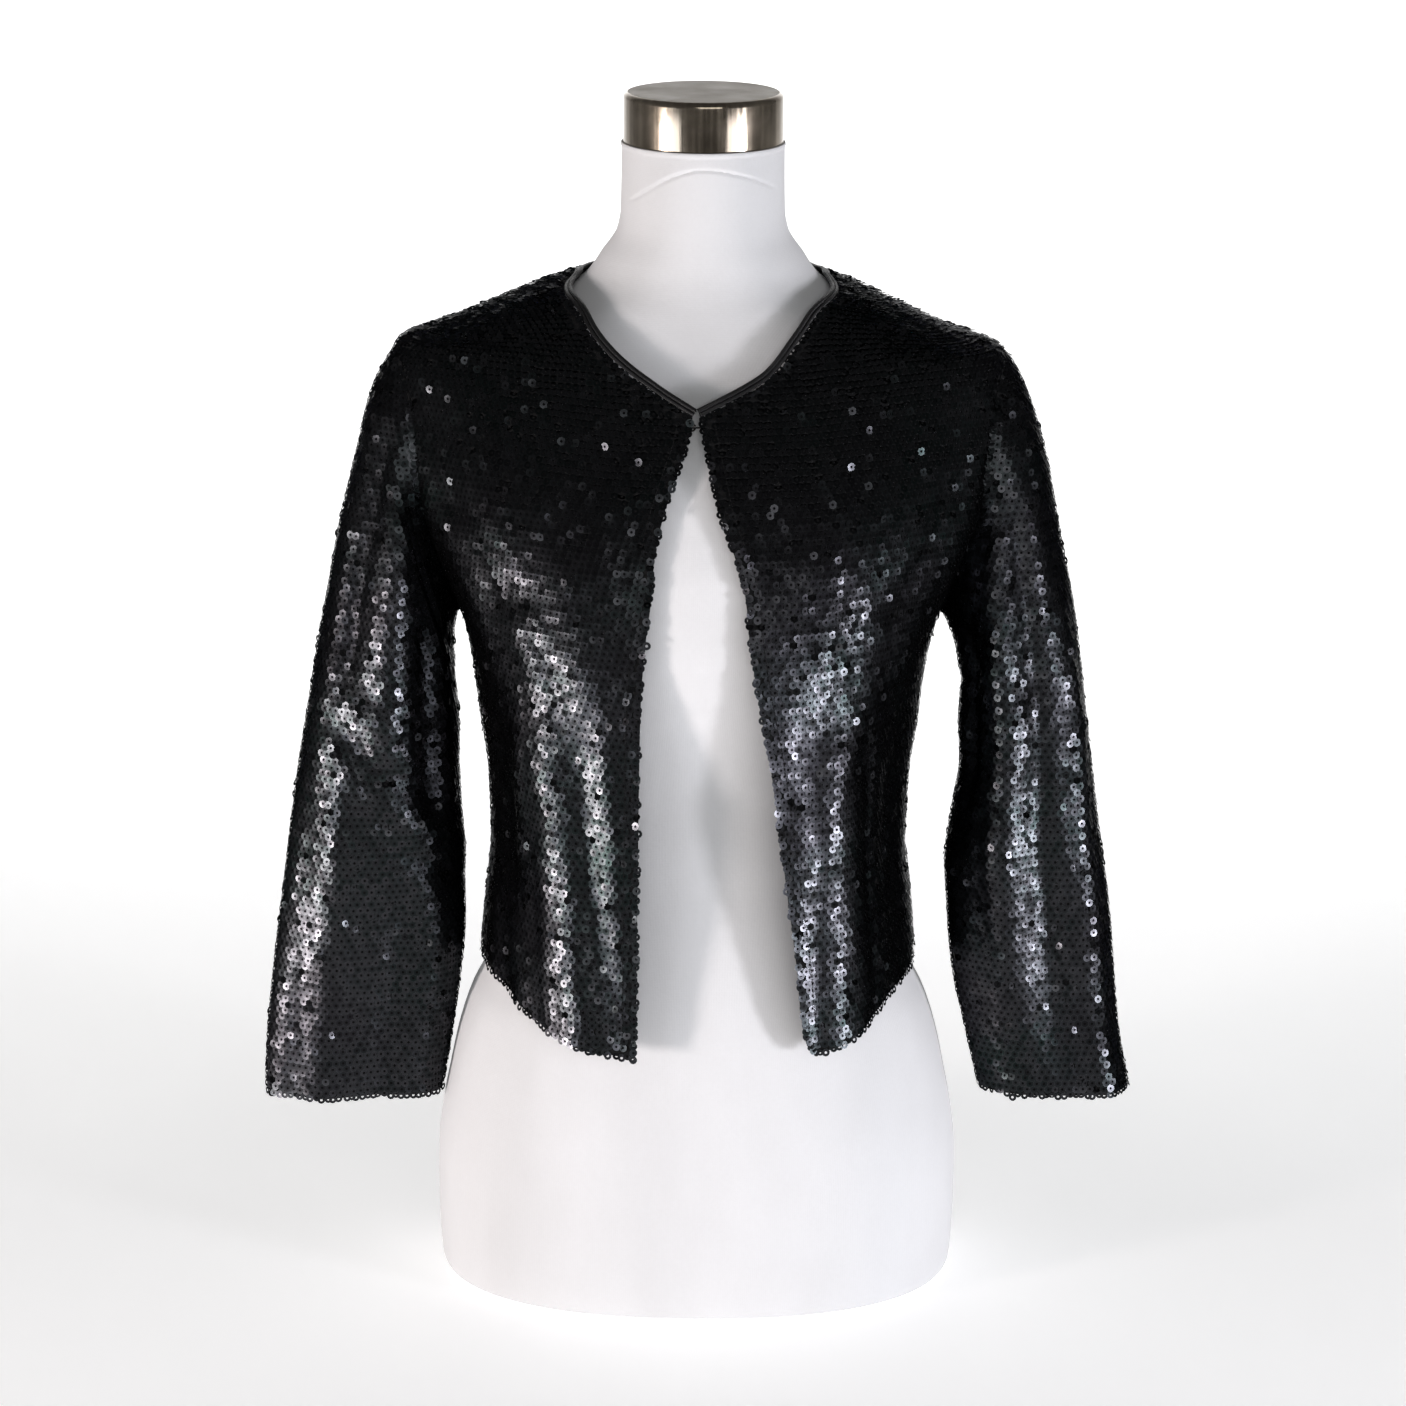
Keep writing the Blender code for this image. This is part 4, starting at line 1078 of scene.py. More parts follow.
@dataclass(frozen=True)
class Jersey:
    """White knitted jersey drawn over the foam torso."""

    shade: tuple[float, float, float] = (0.490, 0.490, 0.492)
    light: tuple[float, float, float] = (0.600, 0.603, 0.610)
    wales_per_metre: float = 780.0
    courses_per_metre: float = 950.0

    def material(self) -> Material:
        """Build the material.

        Returns:
            The material.
        """
        graph = NodeGraph("white_jersey")
        wales = graph.threads(self.wales_per_metre, 0.0)
        courses = graph.threads(self.courses_per_metre, 90.0)
        knit = wales * 0.65 + courses * 0.35
        fuzz = graph.noise(420.0, 4.0)
        drift = graph.spread(graph.noise(11.0, 3.0, (1.0, 1.0, 0.5)), 0.3, 0.7, 0.0, 1.0)
        return graph.finish(
            Base_Color=graph.mixed(
                knit * 0.12 + fuzz * 0.33 + drift * 0.55, self.shade, self.light
            ),
            Roughness=graph.spread(fuzz, 0.3, 0.7, 0.82, 0.96),
            Normal=graph.bump(knit * 0.4 + fuzz, 0.00009),
            Sheen_Weight=0.12,
            Sheen_Roughness=0.5,
        )


@dataclass(frozen=True)
class BrushedMetal:
    """Warm grey metal: streaked upright round the band, and matt on the top."""

    name: str
    dark: tuple[float, float, float]
    light: tuple[float, float, float]
    roughness: tuple[float, float]
    streak: tuple[float, float, float]
    streak_depth: float

    def material(self) -> Material:
        """Build the material.

        Returns:
            The material.
        """
        graph = NodeGraph(self.name)
        streaks = graph.noise(60.0, 6.0, self.streak)
        grime = graph.spread(graph.noise(38.0, 3.0), 0.35, 0.7, 0.0, 1.0)
        shade = streaks * 0.7 + grime * 0.3
        return graph.finish(
            Base_Color=graph.mixed(shade, self.dark, self.light),
            Metallic=1.0,
            Roughness=graph.spread(shade, 0.25, 0.75, *self.roughness),
            Normal=graph.bump(streaks, self.streak_depth),
        )


@dataclass(frozen=True)
class LacqueredWire:
    """Black lacquered wire, with the metal just showing through in small worn spots."""

    lacquer: tuple[float, float, float] = (0.006, 0.005, 0.0045)
    worn: tuple[float, float, float] = (0.06, 0.05, 0.04)

    def material(self) -> Material:
        """Build the material.

        Returns:
            The material.
        """
        graph = NodeGraph("lacquered_wire")
        spots = graph.spread(graph.noise(900.0, 3.0), 0.60, 0.72, 0.0, 1.0)
        return graph.finish(
            Base_Color=graph.mixed(spots, self.lacquer, self.worn),
            Metallic=graph.spread(spots, 0.0, 1.0, 0.1, 0.9),
            Roughness=graph.spread(spots, 0.0, 1.0, 0.28, 0.42),
            Normal=graph.bump(spots, 0.00003),
        )


@dataclass(frozen=True)
class SewingThread:
    """Twisted black thread."""

    dark: tuple[float, float, float] = (0.0010, 0.0010, 0.0012)
    light: tuple[float, float, float] = (0.0045, 0.0045, 0.0050)

    def material(self) -> Material:
        """Build the material.

        Returns:
            The material.
        """
        graph = NodeGraph("black_thread")
        twist = graph.noise(2600.0, 1.0, (1.0, 1.0, 2.0))
        return graph.finish(
            Base_Color=graph.mixed(twist, self.dark, self.light),
            Roughness=graph.spread(twist, 0.3, 0.7, 0.70, 0.85),
            Specular_IOR_Level=0.15,
            Normal=graph.bump(twist, 0.00006),
        )


def kept_mesh(name: str, mesh: BMesh) -> Mesh:
    """Turn a bmesh into mesh data.

    Args:
        name: The data's name.
        mesh: The bmesh, freed here.

    Returns:
        The data.
    """
    data = bpy.data.meshes.new(name)
    mesh.to_mesh(data)
    mesh.free()
    return data


def placed(name: str, mesh: BMesh, *finishes: Material) -> Object:
    """Turn a closed or open mesh into a smooth piece of the object.

    Args:
        name: The piece's name.
        mesh: Its mesh, already in place, freed here.
        finishes: Its materials, in the order of its faces' material numbers.

    Returns:
        The piece.
    """
    data = kept_mesh(name, mesh)
    data.shade_smooth()
    data.set_sharp_from_angle(angle=math.radians(SHARP_ANGLE))
    return linked(name, data, *finishes)


def linked(name: str, data: Mesh, *finishes: Material) -> Object:
    """Put a mesh into the scene as a piece that rides on the one body.

    Args:
        name: The piece's name.
        data: Its mesh.
        finishes: Its materials, in the order of its faces' material numbers.

    Returns:
        The piece.
    """
    for finish in finishes:
        data.materials.append(finish)
    piece = bpy.data.objects.new(name, data)
    bpy.context.scene.collection.objects.link(piece)
    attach(piece, "root")
    return piece


def fitted(piece: Object, node: str) -> None:
    """Put a piece in the place of its solid and report it.

    Args:
        piece: The finished piece.
        node: The solid that it stands for.
    """
    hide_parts(node)
    log.info("%s: %d faces", piece.name, len(piece.data.polygons))


def gridded(points: Array, flat: Array | None = None) -> BMesh:
    """Lay a grid's points out as a sheet of quads.

    Args:
        points: The place of each point of the grid.
        flat: The cloth's flat measure at each point, for its UV map.

    Returns:
        The open sheet.
    """
    across, along = points.shape[0] - 1, points.shape[1] - 1
    mesh = bmesh.new()
    bmesh.ops.create_grid(mesh, x_segments=across, y_segments=along, size=0.5)
    if flat is not None:
        layer = mesh.loops.layers.uv.new("cloth")
    for vert in mesh.verts:
        i, j = round((vert.co.x + 0.5) * across), round((vert.co.y + 0.5) * along)
        vert.co = points[i, j]
        if flat is not None:
            for loop in vert.link_loops:
                loop[layer].uv = flat[i, j]
    return mesh


def walled(mesh: BMesh, outward: Array, thickness: float, joined: bool) -> None:
    """Give an open sheet its thickness, inwards, and close its rim.

    Args:
        mesh: The sheet from gridded, changed here.
        outward: The outward direction at each of its points, in its own order.
        thickness: How thick the cloth is.
        joined: Whether the sheet's two sides meet, as round a sleeve.
    """
    inward = mesh.verts.layers.float_vector.new("inward")
    for vert, way in zip(mesh.verts, outward):
        vert[inward] = Vector(way) * -thickness
    if joined:
        bmesh.ops.remove_doubles(mesh, verts=mesh.verts, dist=MERGE)
    made = bmesh.ops.extrude_face_region(mesh, geom=mesh.faces[:], use_keep_orig=True)
    for item in made["geom"]:
        if isinstance(item, BMVert):
            item.co += item[inward]
    mesh.verts.layers.float_vector.remove(inward)
    bmesh.ops.recalc_face_normals(mesh, faces=mesh.faces)


def capped(mesh: BMesh) -> None:
    """Join the two sides of a sheet that is rolled into a tube, and close its ends.

    Args:
        mesh: The sheet from gridded, changed here.
    """
    bmesh.ops.remove_doubles(mesh, verts=mesh.verts, dist=MERGE)
    ends = [edge for edge in mesh.edges if edge.is_boundary]
    bmesh.ops.holes_fill(mesh, edges=ends, sides=0)
    bmesh.ops.recalc_face_normals(mesh, faces=mesh.faces)


def length_along(points: Array) -> Array:
    """Find how far along a line each of its points is."""
    steps = np.linalg.norm(np.diff(points, axis=0), axis=1)
    return np.concatenate([[0.0], steps.cumsum()])


def measured(points: Array) -> Array:
    """Find the flat measure of a grid of points from its middle line and its middle row.

    Args:
        points: The place of each point of the grid.

    Returns:
        How far across and how far along the cloth each point is.
    """
    over = length_along(points[:, points.shape[1] // 2])
    up = length_along(points[points.shape[0] // 2])
    return np.stack(np.meshgrid(over, up, indexing="ij"), axis=-1)


@dataclass(frozen=True)
class Patch:
    """A stretch of cloth sampled on a fine grid, for laying sequins and stitches on it."""

    firsts: Array
    seconds: Array
    points: Array
    outward: Array

    @classmethod
    def of(cls, surface: Surface, firsts: Array, seconds: Array, facing: int) -> "Patch":
        """Sample a surface.

        Args:
            surface: The surface, as a function of its two parameters.
            firsts: Rising values of the first parameter.
            seconds: Rising values of the second parameter.
            facing: 1, or -1 where the parameters' cross product faces inwards.

        Returns:
            The sampled patch.
        """
        grid = np.meshgrid(firsts, seconds, indexing="ij")
        points = surface(*grid)
        over, up = np.gradient(points, axis=0), np.gradient(points, axis=1)
        return cls(firsts, seconds, points, facing * unit(np.cross(over, up)))

    def at(self, values: Array, first: Array, second: Array) -> Array:
        """Read a grid of vectors between its points.

        Args:
            values: A vector for each point of the grid.
            first: The first parameter of each place.
            second: The second parameter of each place.

        Returns:
            The vector at each place.
        """
        a = np.interp(first, self.firsts, np.arange(len(self.firsts)))
        b = np.interp(second, self.seconds, np.arange(len(self.seconds)))
        i = np.clip(a.astype(int), 0, len(self.firsts) - 2)
        j = np.clip(b.astype(int), 0, len(self.seconds) - 2)
        s, t = (a - i)[:, None], (b - j)[:, None]
        low = values[i, j] * (1 - s) + values[i + 1, j] * s
        high = values[i, j + 1] * (1 - s) + values[i + 1, j + 1] * s
        return low * (1 - t) + high * t

    def rows(
        self, pitch: float, start: float, stop: float, level: float
    ) -> list[tuple[Array, Array]]:
        """Find lines a fixed distance apart along the cloth, from its first edge.

        Args:
            pitch: The distance from line to line.
            start: The first line's distance from the edge where the second parameter starts.
            stop: The least distance from the other edge.
            level: 0 for lines along that edge, 1 for level lines from its lowest point up.

        Returns:
            Both parameters along each line.
        """
        steps = np.linalg.norm(np.diff(self.points, axis=1), axis=2)
        edge = self.points[:, 0, 2]
        up = np.concatenate([level * (edge - edge.min())[:, None], steps], axis=1).cumsum(axis=1)
        lines = []
        for height in np.arange(start, up[:, -1].max(), pitch):
            there = (up[:, 0] <= height) & (up[:, -1] >= height + stop)
            second = [np.interp(height, length, self.seconds) for length in up[there]]
            lines.append((self.firsts[there], np.array(second)))
        return lines


@dataclass(frozen=True)
class Sequins:
    """Round sequins with a hole, sewn on in overlapping rows."""

    spacing: float = 0.0045
    edge_spacing: float = 0.0037
    pitch: float = 0.0042
    radius: float = 0.00255
    hole: float = 0.00075
    cup: float = 0.00005
    sides: int = 10
    stand: float = 0.00062
    twist: float = 3.5
    looseness: float = 2.7
    loose_share: float = 0.10
    edge_loose_share: float = 0.35
    top_loose_share: float = 0.30
    loose_times: float = 5.0
    edge_stray: float = 0.0007
    reading_step: float = 0.002

    def stamp(self) -> Mesh:
        """Model one sequin: a shallow cupped ring in the XY plane, facing +Z.

        Returns:
            Its mesh.
        """
        mesh = bmesh.new()
        bmesh.ops.create_circle(mesh, cap_ends=True, segments=self.sides, radius=self.radius)
        band = (self.radius - self.hole) * math.cos(math.pi / self.sides)
        bmesh.ops.inset_region(mesh, faces=mesh.faces[:], thickness=band, use_boundary=True)
        middle = min(mesh.faces, key=lambda face: face.calc_center_median().length)
        for vert in middle.verts:
            vert.co.z -= self.cup
        bmesh.ops.delete(mesh, geom=[middle], context="FACES_ONLY")
        return kept_mesh("one_sequin", mesh)

    def along(
        self, patch: Patch, first: Array, second: Array, shift: float, spacing: float
    ) -> Array:
        """Space sequins along one line on the cloth.

        Args:
            patch: The cloth.
            first: The first parameter along the line.
            second: The second parameter along the line.
            shift: How many spacings from the line's start the first one is.
            spacing: The distance from one to the next.

        Returns:
            Both parameters of each sequin.
        """
        if len(first) < 2:
            return np.empty((0, 2))
        length = length_along(patch.at(patch.points, first, second))
        at = np.arange(shift * spacing, length[-1], spacing)
        return np.stack([np.interp(at, length, first), np.interp(at, length, second)], axis=1)

    def sew(
        self,
        name: str,
        patch: Patch,
        places: Array,
        beside: int,
        leans: tuple[tuple[float, ...], tuple[float, ...]],
        finish: Material,
        seed: int,
    ) -> Object:
        """Sew one sequin at each place and join them all into one piece.

        Args:
            name: The piece's name.
            patch: The cloth.
            places: Both parameters of each sequin.
            beside: How many of them, the first ones, hang looser beside a free edge.
            leans: Heights, and how many degrees a disc leans out over the next row there.
            finish: The sequins' material.
            seed: What the small differences from disc to disc are drawn from.

        Returns:
            The piece.
        """
        chance = np.random.default_rng(seed)
        first, second = places[:, 0], places[:, 1]
        outward = unit(patch.at(patch.outward, first, second))
        step = self.reading_step * (patch.seconds[-1] - patch.seconds[0])
        ahead = patch.at(patch.points, first, np.minimum(second + step, patch.seconds[-1]))
        behind = patch.at(patch.points, first, np.maximum(second - step, patch.seconds[0]))
        up = unit(ahead - behind)
        over = unit(np.cross(up, outward))
        up = np.cross(outward, over)
        on_edge = np.arange(len(places)) < beside
        share = np.where(on_edge, self.edge_loose_share, self.loose_share)
        share = share + self.top_loose_share * np.clip(outward[:, 2], 0.0, 1.0)
        loose = np.where(chance.random(len(places)) < share, self.loose_times, 1.0)
        stray = chance.normal(0.0, self.looseness, (2, len(places))) * loose
        centres = patch.at(patch.points, first, second) + outward * self.stand
        lean = np.radians(eased(*leans, centres[:, 2]) + stray[0])
        twist = np.radians(self.twist + stray[1])
        way = unit(outward + up * np.tan(lean)[:, None] + over * np.tan(twist)[:, None])
        over = unit(np.cross(up, way))
        axes = np.stack([over, np.cross(way, over), way], axis=1)
        moved = chance.normal(0.0, self.edge_stray, (2, len(places), 1)) * on_edge[:, None]
        centres += over * moved[0] + axes[:, 1] * moved[1]
        return stamped(name, self.stamp(), centres, axes, chance.random(len(places)), finish)


def stamped(
    name: str,
    stamp: Mesh,
    places: Array,
    axes: Array,
    chances: Array,
    finish: Material,
) -> Object:
    """Join a copy of one small mesh at every place into one piece.

    Args:
        name: The piece's name.
        stamp: The small mesh, removed here.
        places: Where each copy's origin goes.
        axes: The directions of each copy's X, Y and Z.
        chances: A number for each copy, which its material reads as chance. It also reads
            reach, how far out from the copy's middle a point is, 1 at the rim.
        finish: The piece's material.

    Returns:
        The piece.
    """
    count = len(places)
    corners = np.empty(len(stamp.vertices) * 3, np.float32)
    stamp.vertices.foreach_get("co", corners)
    loops = np.empty(len(stamp.loops), np.int32)
    stamp.loops.foreach_get("vertex_index", loops)
    starts = np.empty(len(stamp.polygons), np.int32)
    stamp.polygons.foreach_get("loop_start", starts)
    corners = corners.reshape(-1, 3)
    spots = places[:, None, :] + np.einsum("vk,nkj->nvj", corners, axes)
    copies = np.arange(count)[:, None]
    data = bpy.data.meshes.new(name)
    data.vertices.add(count * len(corners))
    data.vertices.foreach_set("co", spots.astype(np.float32).ravel())
    data.loops.add(count * len(loops))
    data.loops.foreach_set("vertex_index", (loops + copies * len(corners)).ravel())
    data.polygons.add(count * len(starts))
    data.polygons.foreach_set("loop_start", (starts + copies * len(loops)).ravel())
    data.update(calc_edges=True)
    reach = np.linalg.norm(corners[:, :2], axis=1)
    reach = np.tile(reach / reach.max(), count)
    chances = np.repeat(chances, len(corners))
    for label, values in (("chance", chances), ("reach", reach)):
        layer = data.attributes.new(label, "FLOAT", "POINT")
        layer.data.foreach_set("value", values.astype(np.float32))
    data.shade_smooth()
    bpy.data.meshes.remove(stamp)
    return linked(name, data, finish)


@dataclass(frozen=True)
class Cut:
    """A cut piece's flat pattern: its width and length, and its area, in metres."""

    width: float
    length: float
    area: float

    def hang(self, node: str, cloth: Object, sequins: Object, form: Object) -> None:
        """Put a cloth piece and its sequins in the place of a solid, and report them.

        Args:
            node: The solid.
            cloth: The cloth, cut to this pattern.
            sequins: The sequins on it.
            form: What it hangs on. Not used.
        """
        fitted(cloth, node)
        log.info("%s: %d sequin faces", node, len(sequins.data.polygons))


@dataclass(frozen=True)
class ClothPanel:
    """What the fronts and the back share: a thin shell in its place and rows of sequins."""

    cut: Cut
    sequins: Sequins
    thickness: float = 0.0010
    sink: float = 0.0002
    seam_margin: float = 0.0003
    edge_margin: float = 0.0021
    bare_edge: float = 0.0009
    bare_hem: float = 0.0015
    closest: float = 0.0029
    level: float = 0.85
    overhang: float = 1.5
    leans: tuple[tuple[float, ...], tuple[float, ...]] = (
        (0.18, 0.34, 0.41, 0.48, 0.66),
        (11.5, 10.5, 11.0, 17.0, 17.0),
    )

    def shell(self, name: str, grid: Array, finish: Material) -> Object:
        """Build the cloth itself.

        Args:
            name: The piece's name.
            grid: Signed turns and heights across and up the panel.
            finish: Its material.

        Returns:
            The piece.
        """
        turn, z = grid[..., 0], grid[..., 1]
        outward = JACKET_SURFACE.outward(turn, z)
        points = JACKET_SURFACE.point(turn, z) - outward * self.sink
        mesh = gridded(points, measured(points))
        walled(mesh, in_grid_order(outward), self.thickness, joined=False)
        return placed(name, mesh, finish)

    def inset(self, edge: Array, inner: Array, margin: float) -> Array:
        """Move a line of turns and heights in from its edge.

        Args:
            edge: The edge's turns and heights.
            inner: The panel's next line of them.
            margin: How far the line moves.

        Returns:
            The moved line.
        """
        on_edge = JACKET_SURFACE.point(edge[:, 0], edge[:, 1])
        further = JACKET_SURFACE.point(inner[:, 0], inner[:, 1])
        share = margin / np.linalg.norm(further - on_edge, axis=1)
        return edge + (inner - edge) * share[:, None]

    def places(self, patch: Patch, grid: Array, free: Sequence[Array]) -> tuple[Array, int]:
        """Choose where the sequins go: a run beside each free edge, then the rows.

        Args:
            patch: The cloth, sampled past the panel's edges, its heights from the hem up.
            grid: The panel's turns and shares of height.
            free: Lines beside the edges that no other piece is sewn to.

        Returns:
            Both of the patch's parameters for each sequin, and how many are in the runs.
        """
        close, apart = self.sequins.edge_spacing, self.sequins.spacing
        runs = [self.sequins.along(patch, line[:, 0], line[:, 1], 0.5, close) for line in free]
        rows = patch.rows(self.sequins.pitch, self.edge_margin, 0.0, self.level)
        for number, (first, second) in enumerate(rows):
            runs.append(self.sequins.along(patch, first, second, 0.5 * (number % 2), apart))
        border = np.concatenate([grid[:, 0], grid[-1], grid[::-1, -1], grid[0, ::-1]])
        beside = np.concatenate([np.empty((0, 2)), *runs[: len(free)]])
        inside = np.concatenate(runs[len(free) :])
        inside = inside[within(border, inside)]
        spots = patch.at(patch.points, inside[:, 0], inside[:, 1])
        margin = nearest(spots, patch.at(patch.points, border[:, 0], border[:, 1]))
        taken = patch.at(patch.points, beside[:, 0], beside[:, 1])
        keep = (margin > self.seam_margin) & (nearest(spots, taken) > self.closest)
        return np.concatenate([beside, inside[keep]]), len(beside)


def in_grid_order(values: Array) -> Array:
    """Put a grid's values in the order of gridded's points, which runs across first."""
    return values.transpose(1, 0, 2).reshape(-1, 3)


def within(border: Array, places: Array) -> Array:
    """Tell which places lie inside a closed border.

    Args:
        border: The border's corners, in order.
        places: The places to test.

    Returns:
        True for each place inside.
    """
    inside = np.zeros(len(places), bool)
    x, y = places[:, 0], places[:, 1]
    for (x0, y0), (x1, y1) in zip(border, np.roll(border, -1, axis=0)):
        if y0 == y1:
            continue
        crossing = ((y0 > y) != (y1 > y)) & (x < (x1 - x0) * (y - y0) / (y1 - y0) + x0)
        inside ^= crossing
    return inside


def nearest(places: Array, others: Array) -> Array:
    """Find how far each place is from the nearest of the others.

    Args:
        places: The places.
        others: The points to look for.

    Returns:
        The distance from each place.
    """
    far = np.full(len(places), np.inf)
    for start in range(0, len(others), 64):
        away = places[:, None, :] - others[None, start : start + 64, :]
        far = np.minimum(far, np.linalg.norm(away, axis=2).min(axis=1))
    return far


@dataclass(frozen=True)
class FrontPanel(ClothPanel):
    """One open front, from its free edge round to the side seam and the armhole."""

    across: int = 40
    along: int = 85
    side_rows: int = 36
    edge_rows: int = 54
    samples: tuple[int, int] = (240, 260)
    corner_z: float = 0.1855
    corner_rounds: int = 8
    seed: int = 11

    def grid(self, side: Side) -> Array:
        """Find the turns and heights across and up the front.

        Args:
            side: Which front it is.

        Returns:
            A turn and a height for each point of the panel's grid.
        """
        corner_z = self.corner_z
        for _ in range(self.corner_rounds):
            corner_x = float(read(FRONT_EDGES, side.column, "z", corner_z))
            corner_z = float(hem_z(JACKET_SURFACE.turn_at(corner_x, corner_z)))
        edge_z = np.linspace(corner_z, THROAT_Z, self.edge_rows + 1)
        edge_turn = JACKET_SURFACE.turn_at(read(FRONT_EDGES, side.column, "z", edge_z), edge_z)
        neck_turn, neck_z = neck_seam_turns(side, self.along - self.edge_rows)
        turns = np.concatenate([edge_turn[:-1], neck_turn])
        left = np.stack([turns, np.concatenate([edge_z[:-1], neck_z])], axis=-1)
        right = side_line(side.value, self.along, self.side_rows, front=True)
        bottom_turn = np.linspace(left[0, 0], right[0, 0], self.across)
        bottom_z = hem_z(bottom_turn)
        bottom_z[0], bottom_z[-1] = left[0, 1], right[0, 1]
        top_z = np.linspace(NECK_POINT_Z, SHOULDER_Z, self.across)
        top = np.stack([np.full(self.across, side.value * 90.0), top_z], axis=-1)
        return coons(left, right, np.stack([bottom_turn, bottom_z], axis=-1), top)

    def build(self, side: Side, cloth: Material, foil: Material, form: Object) -> None:
        """Build the front's cloth and sequins and put them in place of its solid.

        Args:
            side: Which front it is.
            cloth: The backing's material.
            foil: The sequins' material.
            form: What the front hangs on.
        """
        grid = self.grid(side)
        name = f"{side.column}_front"
        cloth_grid = grid.copy()
        cloth_grid[0] = self.inset(grid[0], grid[1], self.bare_edge)
        cloth_grid[:, 0] = self.inset(cloth_grid[:, 0], cloth_grid[:, 1], self.bare_hem)
        shell = self.shell(f"{name}_cloth", cloth_grid, cloth)
        turns = np.linspace(-self.overhang, 90.0 + self.overhang, self.samples[0])
        if side is Side.RIGHT:
            turns = -turns[::-1]
        patch = body_patch(turns, np.linspace(0.0, 1.0, self.samples[1]))
        shares = height_shares(grid)
        free = [
            self.inset(grid[0], grid[1], self.edge_margin),
            self.inset(grid[:, 0], grid[:, 1], self.edge_margin),
        ]
        free_shares = [height_shares(line[None])[0] for line in free]
        places, beside = self.places(patch, shares, free_shares)
        sewn = (patch, places, beside, self.leans)
        sequins = self.sequins.sew(f"{name}_sequins", *sewn, foil, self.seed + side.value)
        self.cut.hang(name, shell, sequins, form)


def height_of(turn: Array, share: Array) -> Array:
    """Find the height at a share of the way from the hem to above the neck."""
    low = hem_z(turn)
    return low + (PATCH_TOP_Z - low) * share


def height_shares(grid: Array) -> Array:
    """Turn a grid's heights into shares of the way from the hem to above the neck.

    Args:
        grid: Turns and heights.

    Returns:
        The same turns, and the shares.
    """
    low = hem_z(signed(grid[..., 0]))
    return np.stack([grid[..., 0], (grid[..., 1] - low) / (PATCH_TOP_Z - low)], axis=-1)


def body_patch(turns: Array, shares: Array) -> Patch:
    """Sample the jacket's body over turns and shares of the way up from the hem.

    Args:
        turns: Rising turns.
        shares: Rising shares.

    Returns:
        The sampled patch.
    """

    def surface(turn: Array, share: Array) -> Array:
        """Find the point at each turn and share."""
        return JACKET_SURFACE.point(signed(turn), height_of(signed(turn), share))

    return Patch.of(surface, turns, shares, 1)


@dataclass(frozen=True)
class BackPanel(ClothPanel):
    """The back, in one piece from side seam to side seam."""

    half_across: int = 52
    along: int = 76
    side_rows: int = 28
    neck_columns: int = 18
    samples: tuple[int, int] = (420, 260)
    seed: int = 21

    def grid(self) -> Array:
        """Find the turns, from 90 to 270, and the heights across and up the back.

        Returns:
            A turn and a height for each point of the panel's grid.
        """
        left_z = np.linspace(float(hem_z(180.0)), BACK_NECK_Z, self.along)
        left = np.stack([np.full(self.along, 180.0), left_z], axis=-1)
        right = side_line(1, self.along, self.side_rows, front=False)
        neck_turn, neck_z = back_neck_line(2 * self.neck_columns + 1)
        neck = np.stack([neck_turn, neck_z], axis=-1)[self.neck_columns :: -1]
        seam_z = np.linspace(NECK_POINT_Z, SHOULDER_Z, self.half_across - self.neck_columns)
        seam = np.stack([np.full(len(seam_z), 90.0), seam_z], axis=-1)
        top = np.concatenate([neck[:-1], seam])
        bottom_turn = np.linspace(180.0, 90.0, self.half_across)
        bottom = np.stack([bottom_turn, hem_z(bottom_turn)], axis=-1)
        half = coons(left, right, bottom, top)
        other = half[:0:-1].copy()
        other[..., 0] = 360.0 - other[..., 0]
        return np.concatenate([other, half])[::-1]

    def build(self, cloth: Material, foil: Material, form: Object) -> None:
        """Build the back's cloth and sequins and put them in place of its solid.

        Args:
            cloth: The backing's material.
            foil: The sequins' material.
            form: What the back hangs on.
        """
        grid = self.grid()
        cloth_grid = grid.copy()
        cloth_grid[self.half_across - 1 :, :, 0] = signed(grid[self.half_across - 1 :, :, 0])
        cloth_grid[:, 0] = self.inset(cloth_grid[:, 0], cloth_grid[:, 1], self.bare_hem)
        shell = self.shell("back_cloth", cloth_grid, cloth)
        turns = np.linspace(90.0 - self.overhang, 270.0 + self.overhang, self.samples[0])
        patch = body_patch(turns, np.linspace(0.0, 1.0, self.samples[1]))
        shares = height_shares(grid)
        hem = self.inset(grid[:, 0], grid[:, 1], self.edge_margin)
        places, beside = self.places(patch, shares, [height_shares(hem[None])[0]])
        sewn = (patch, places, beside, self.leans)
        sequins = self.sequins.sew("back_sequins", *sewn, foil, self.seed)
        self.cut.hang("back", shell, sequins, form)


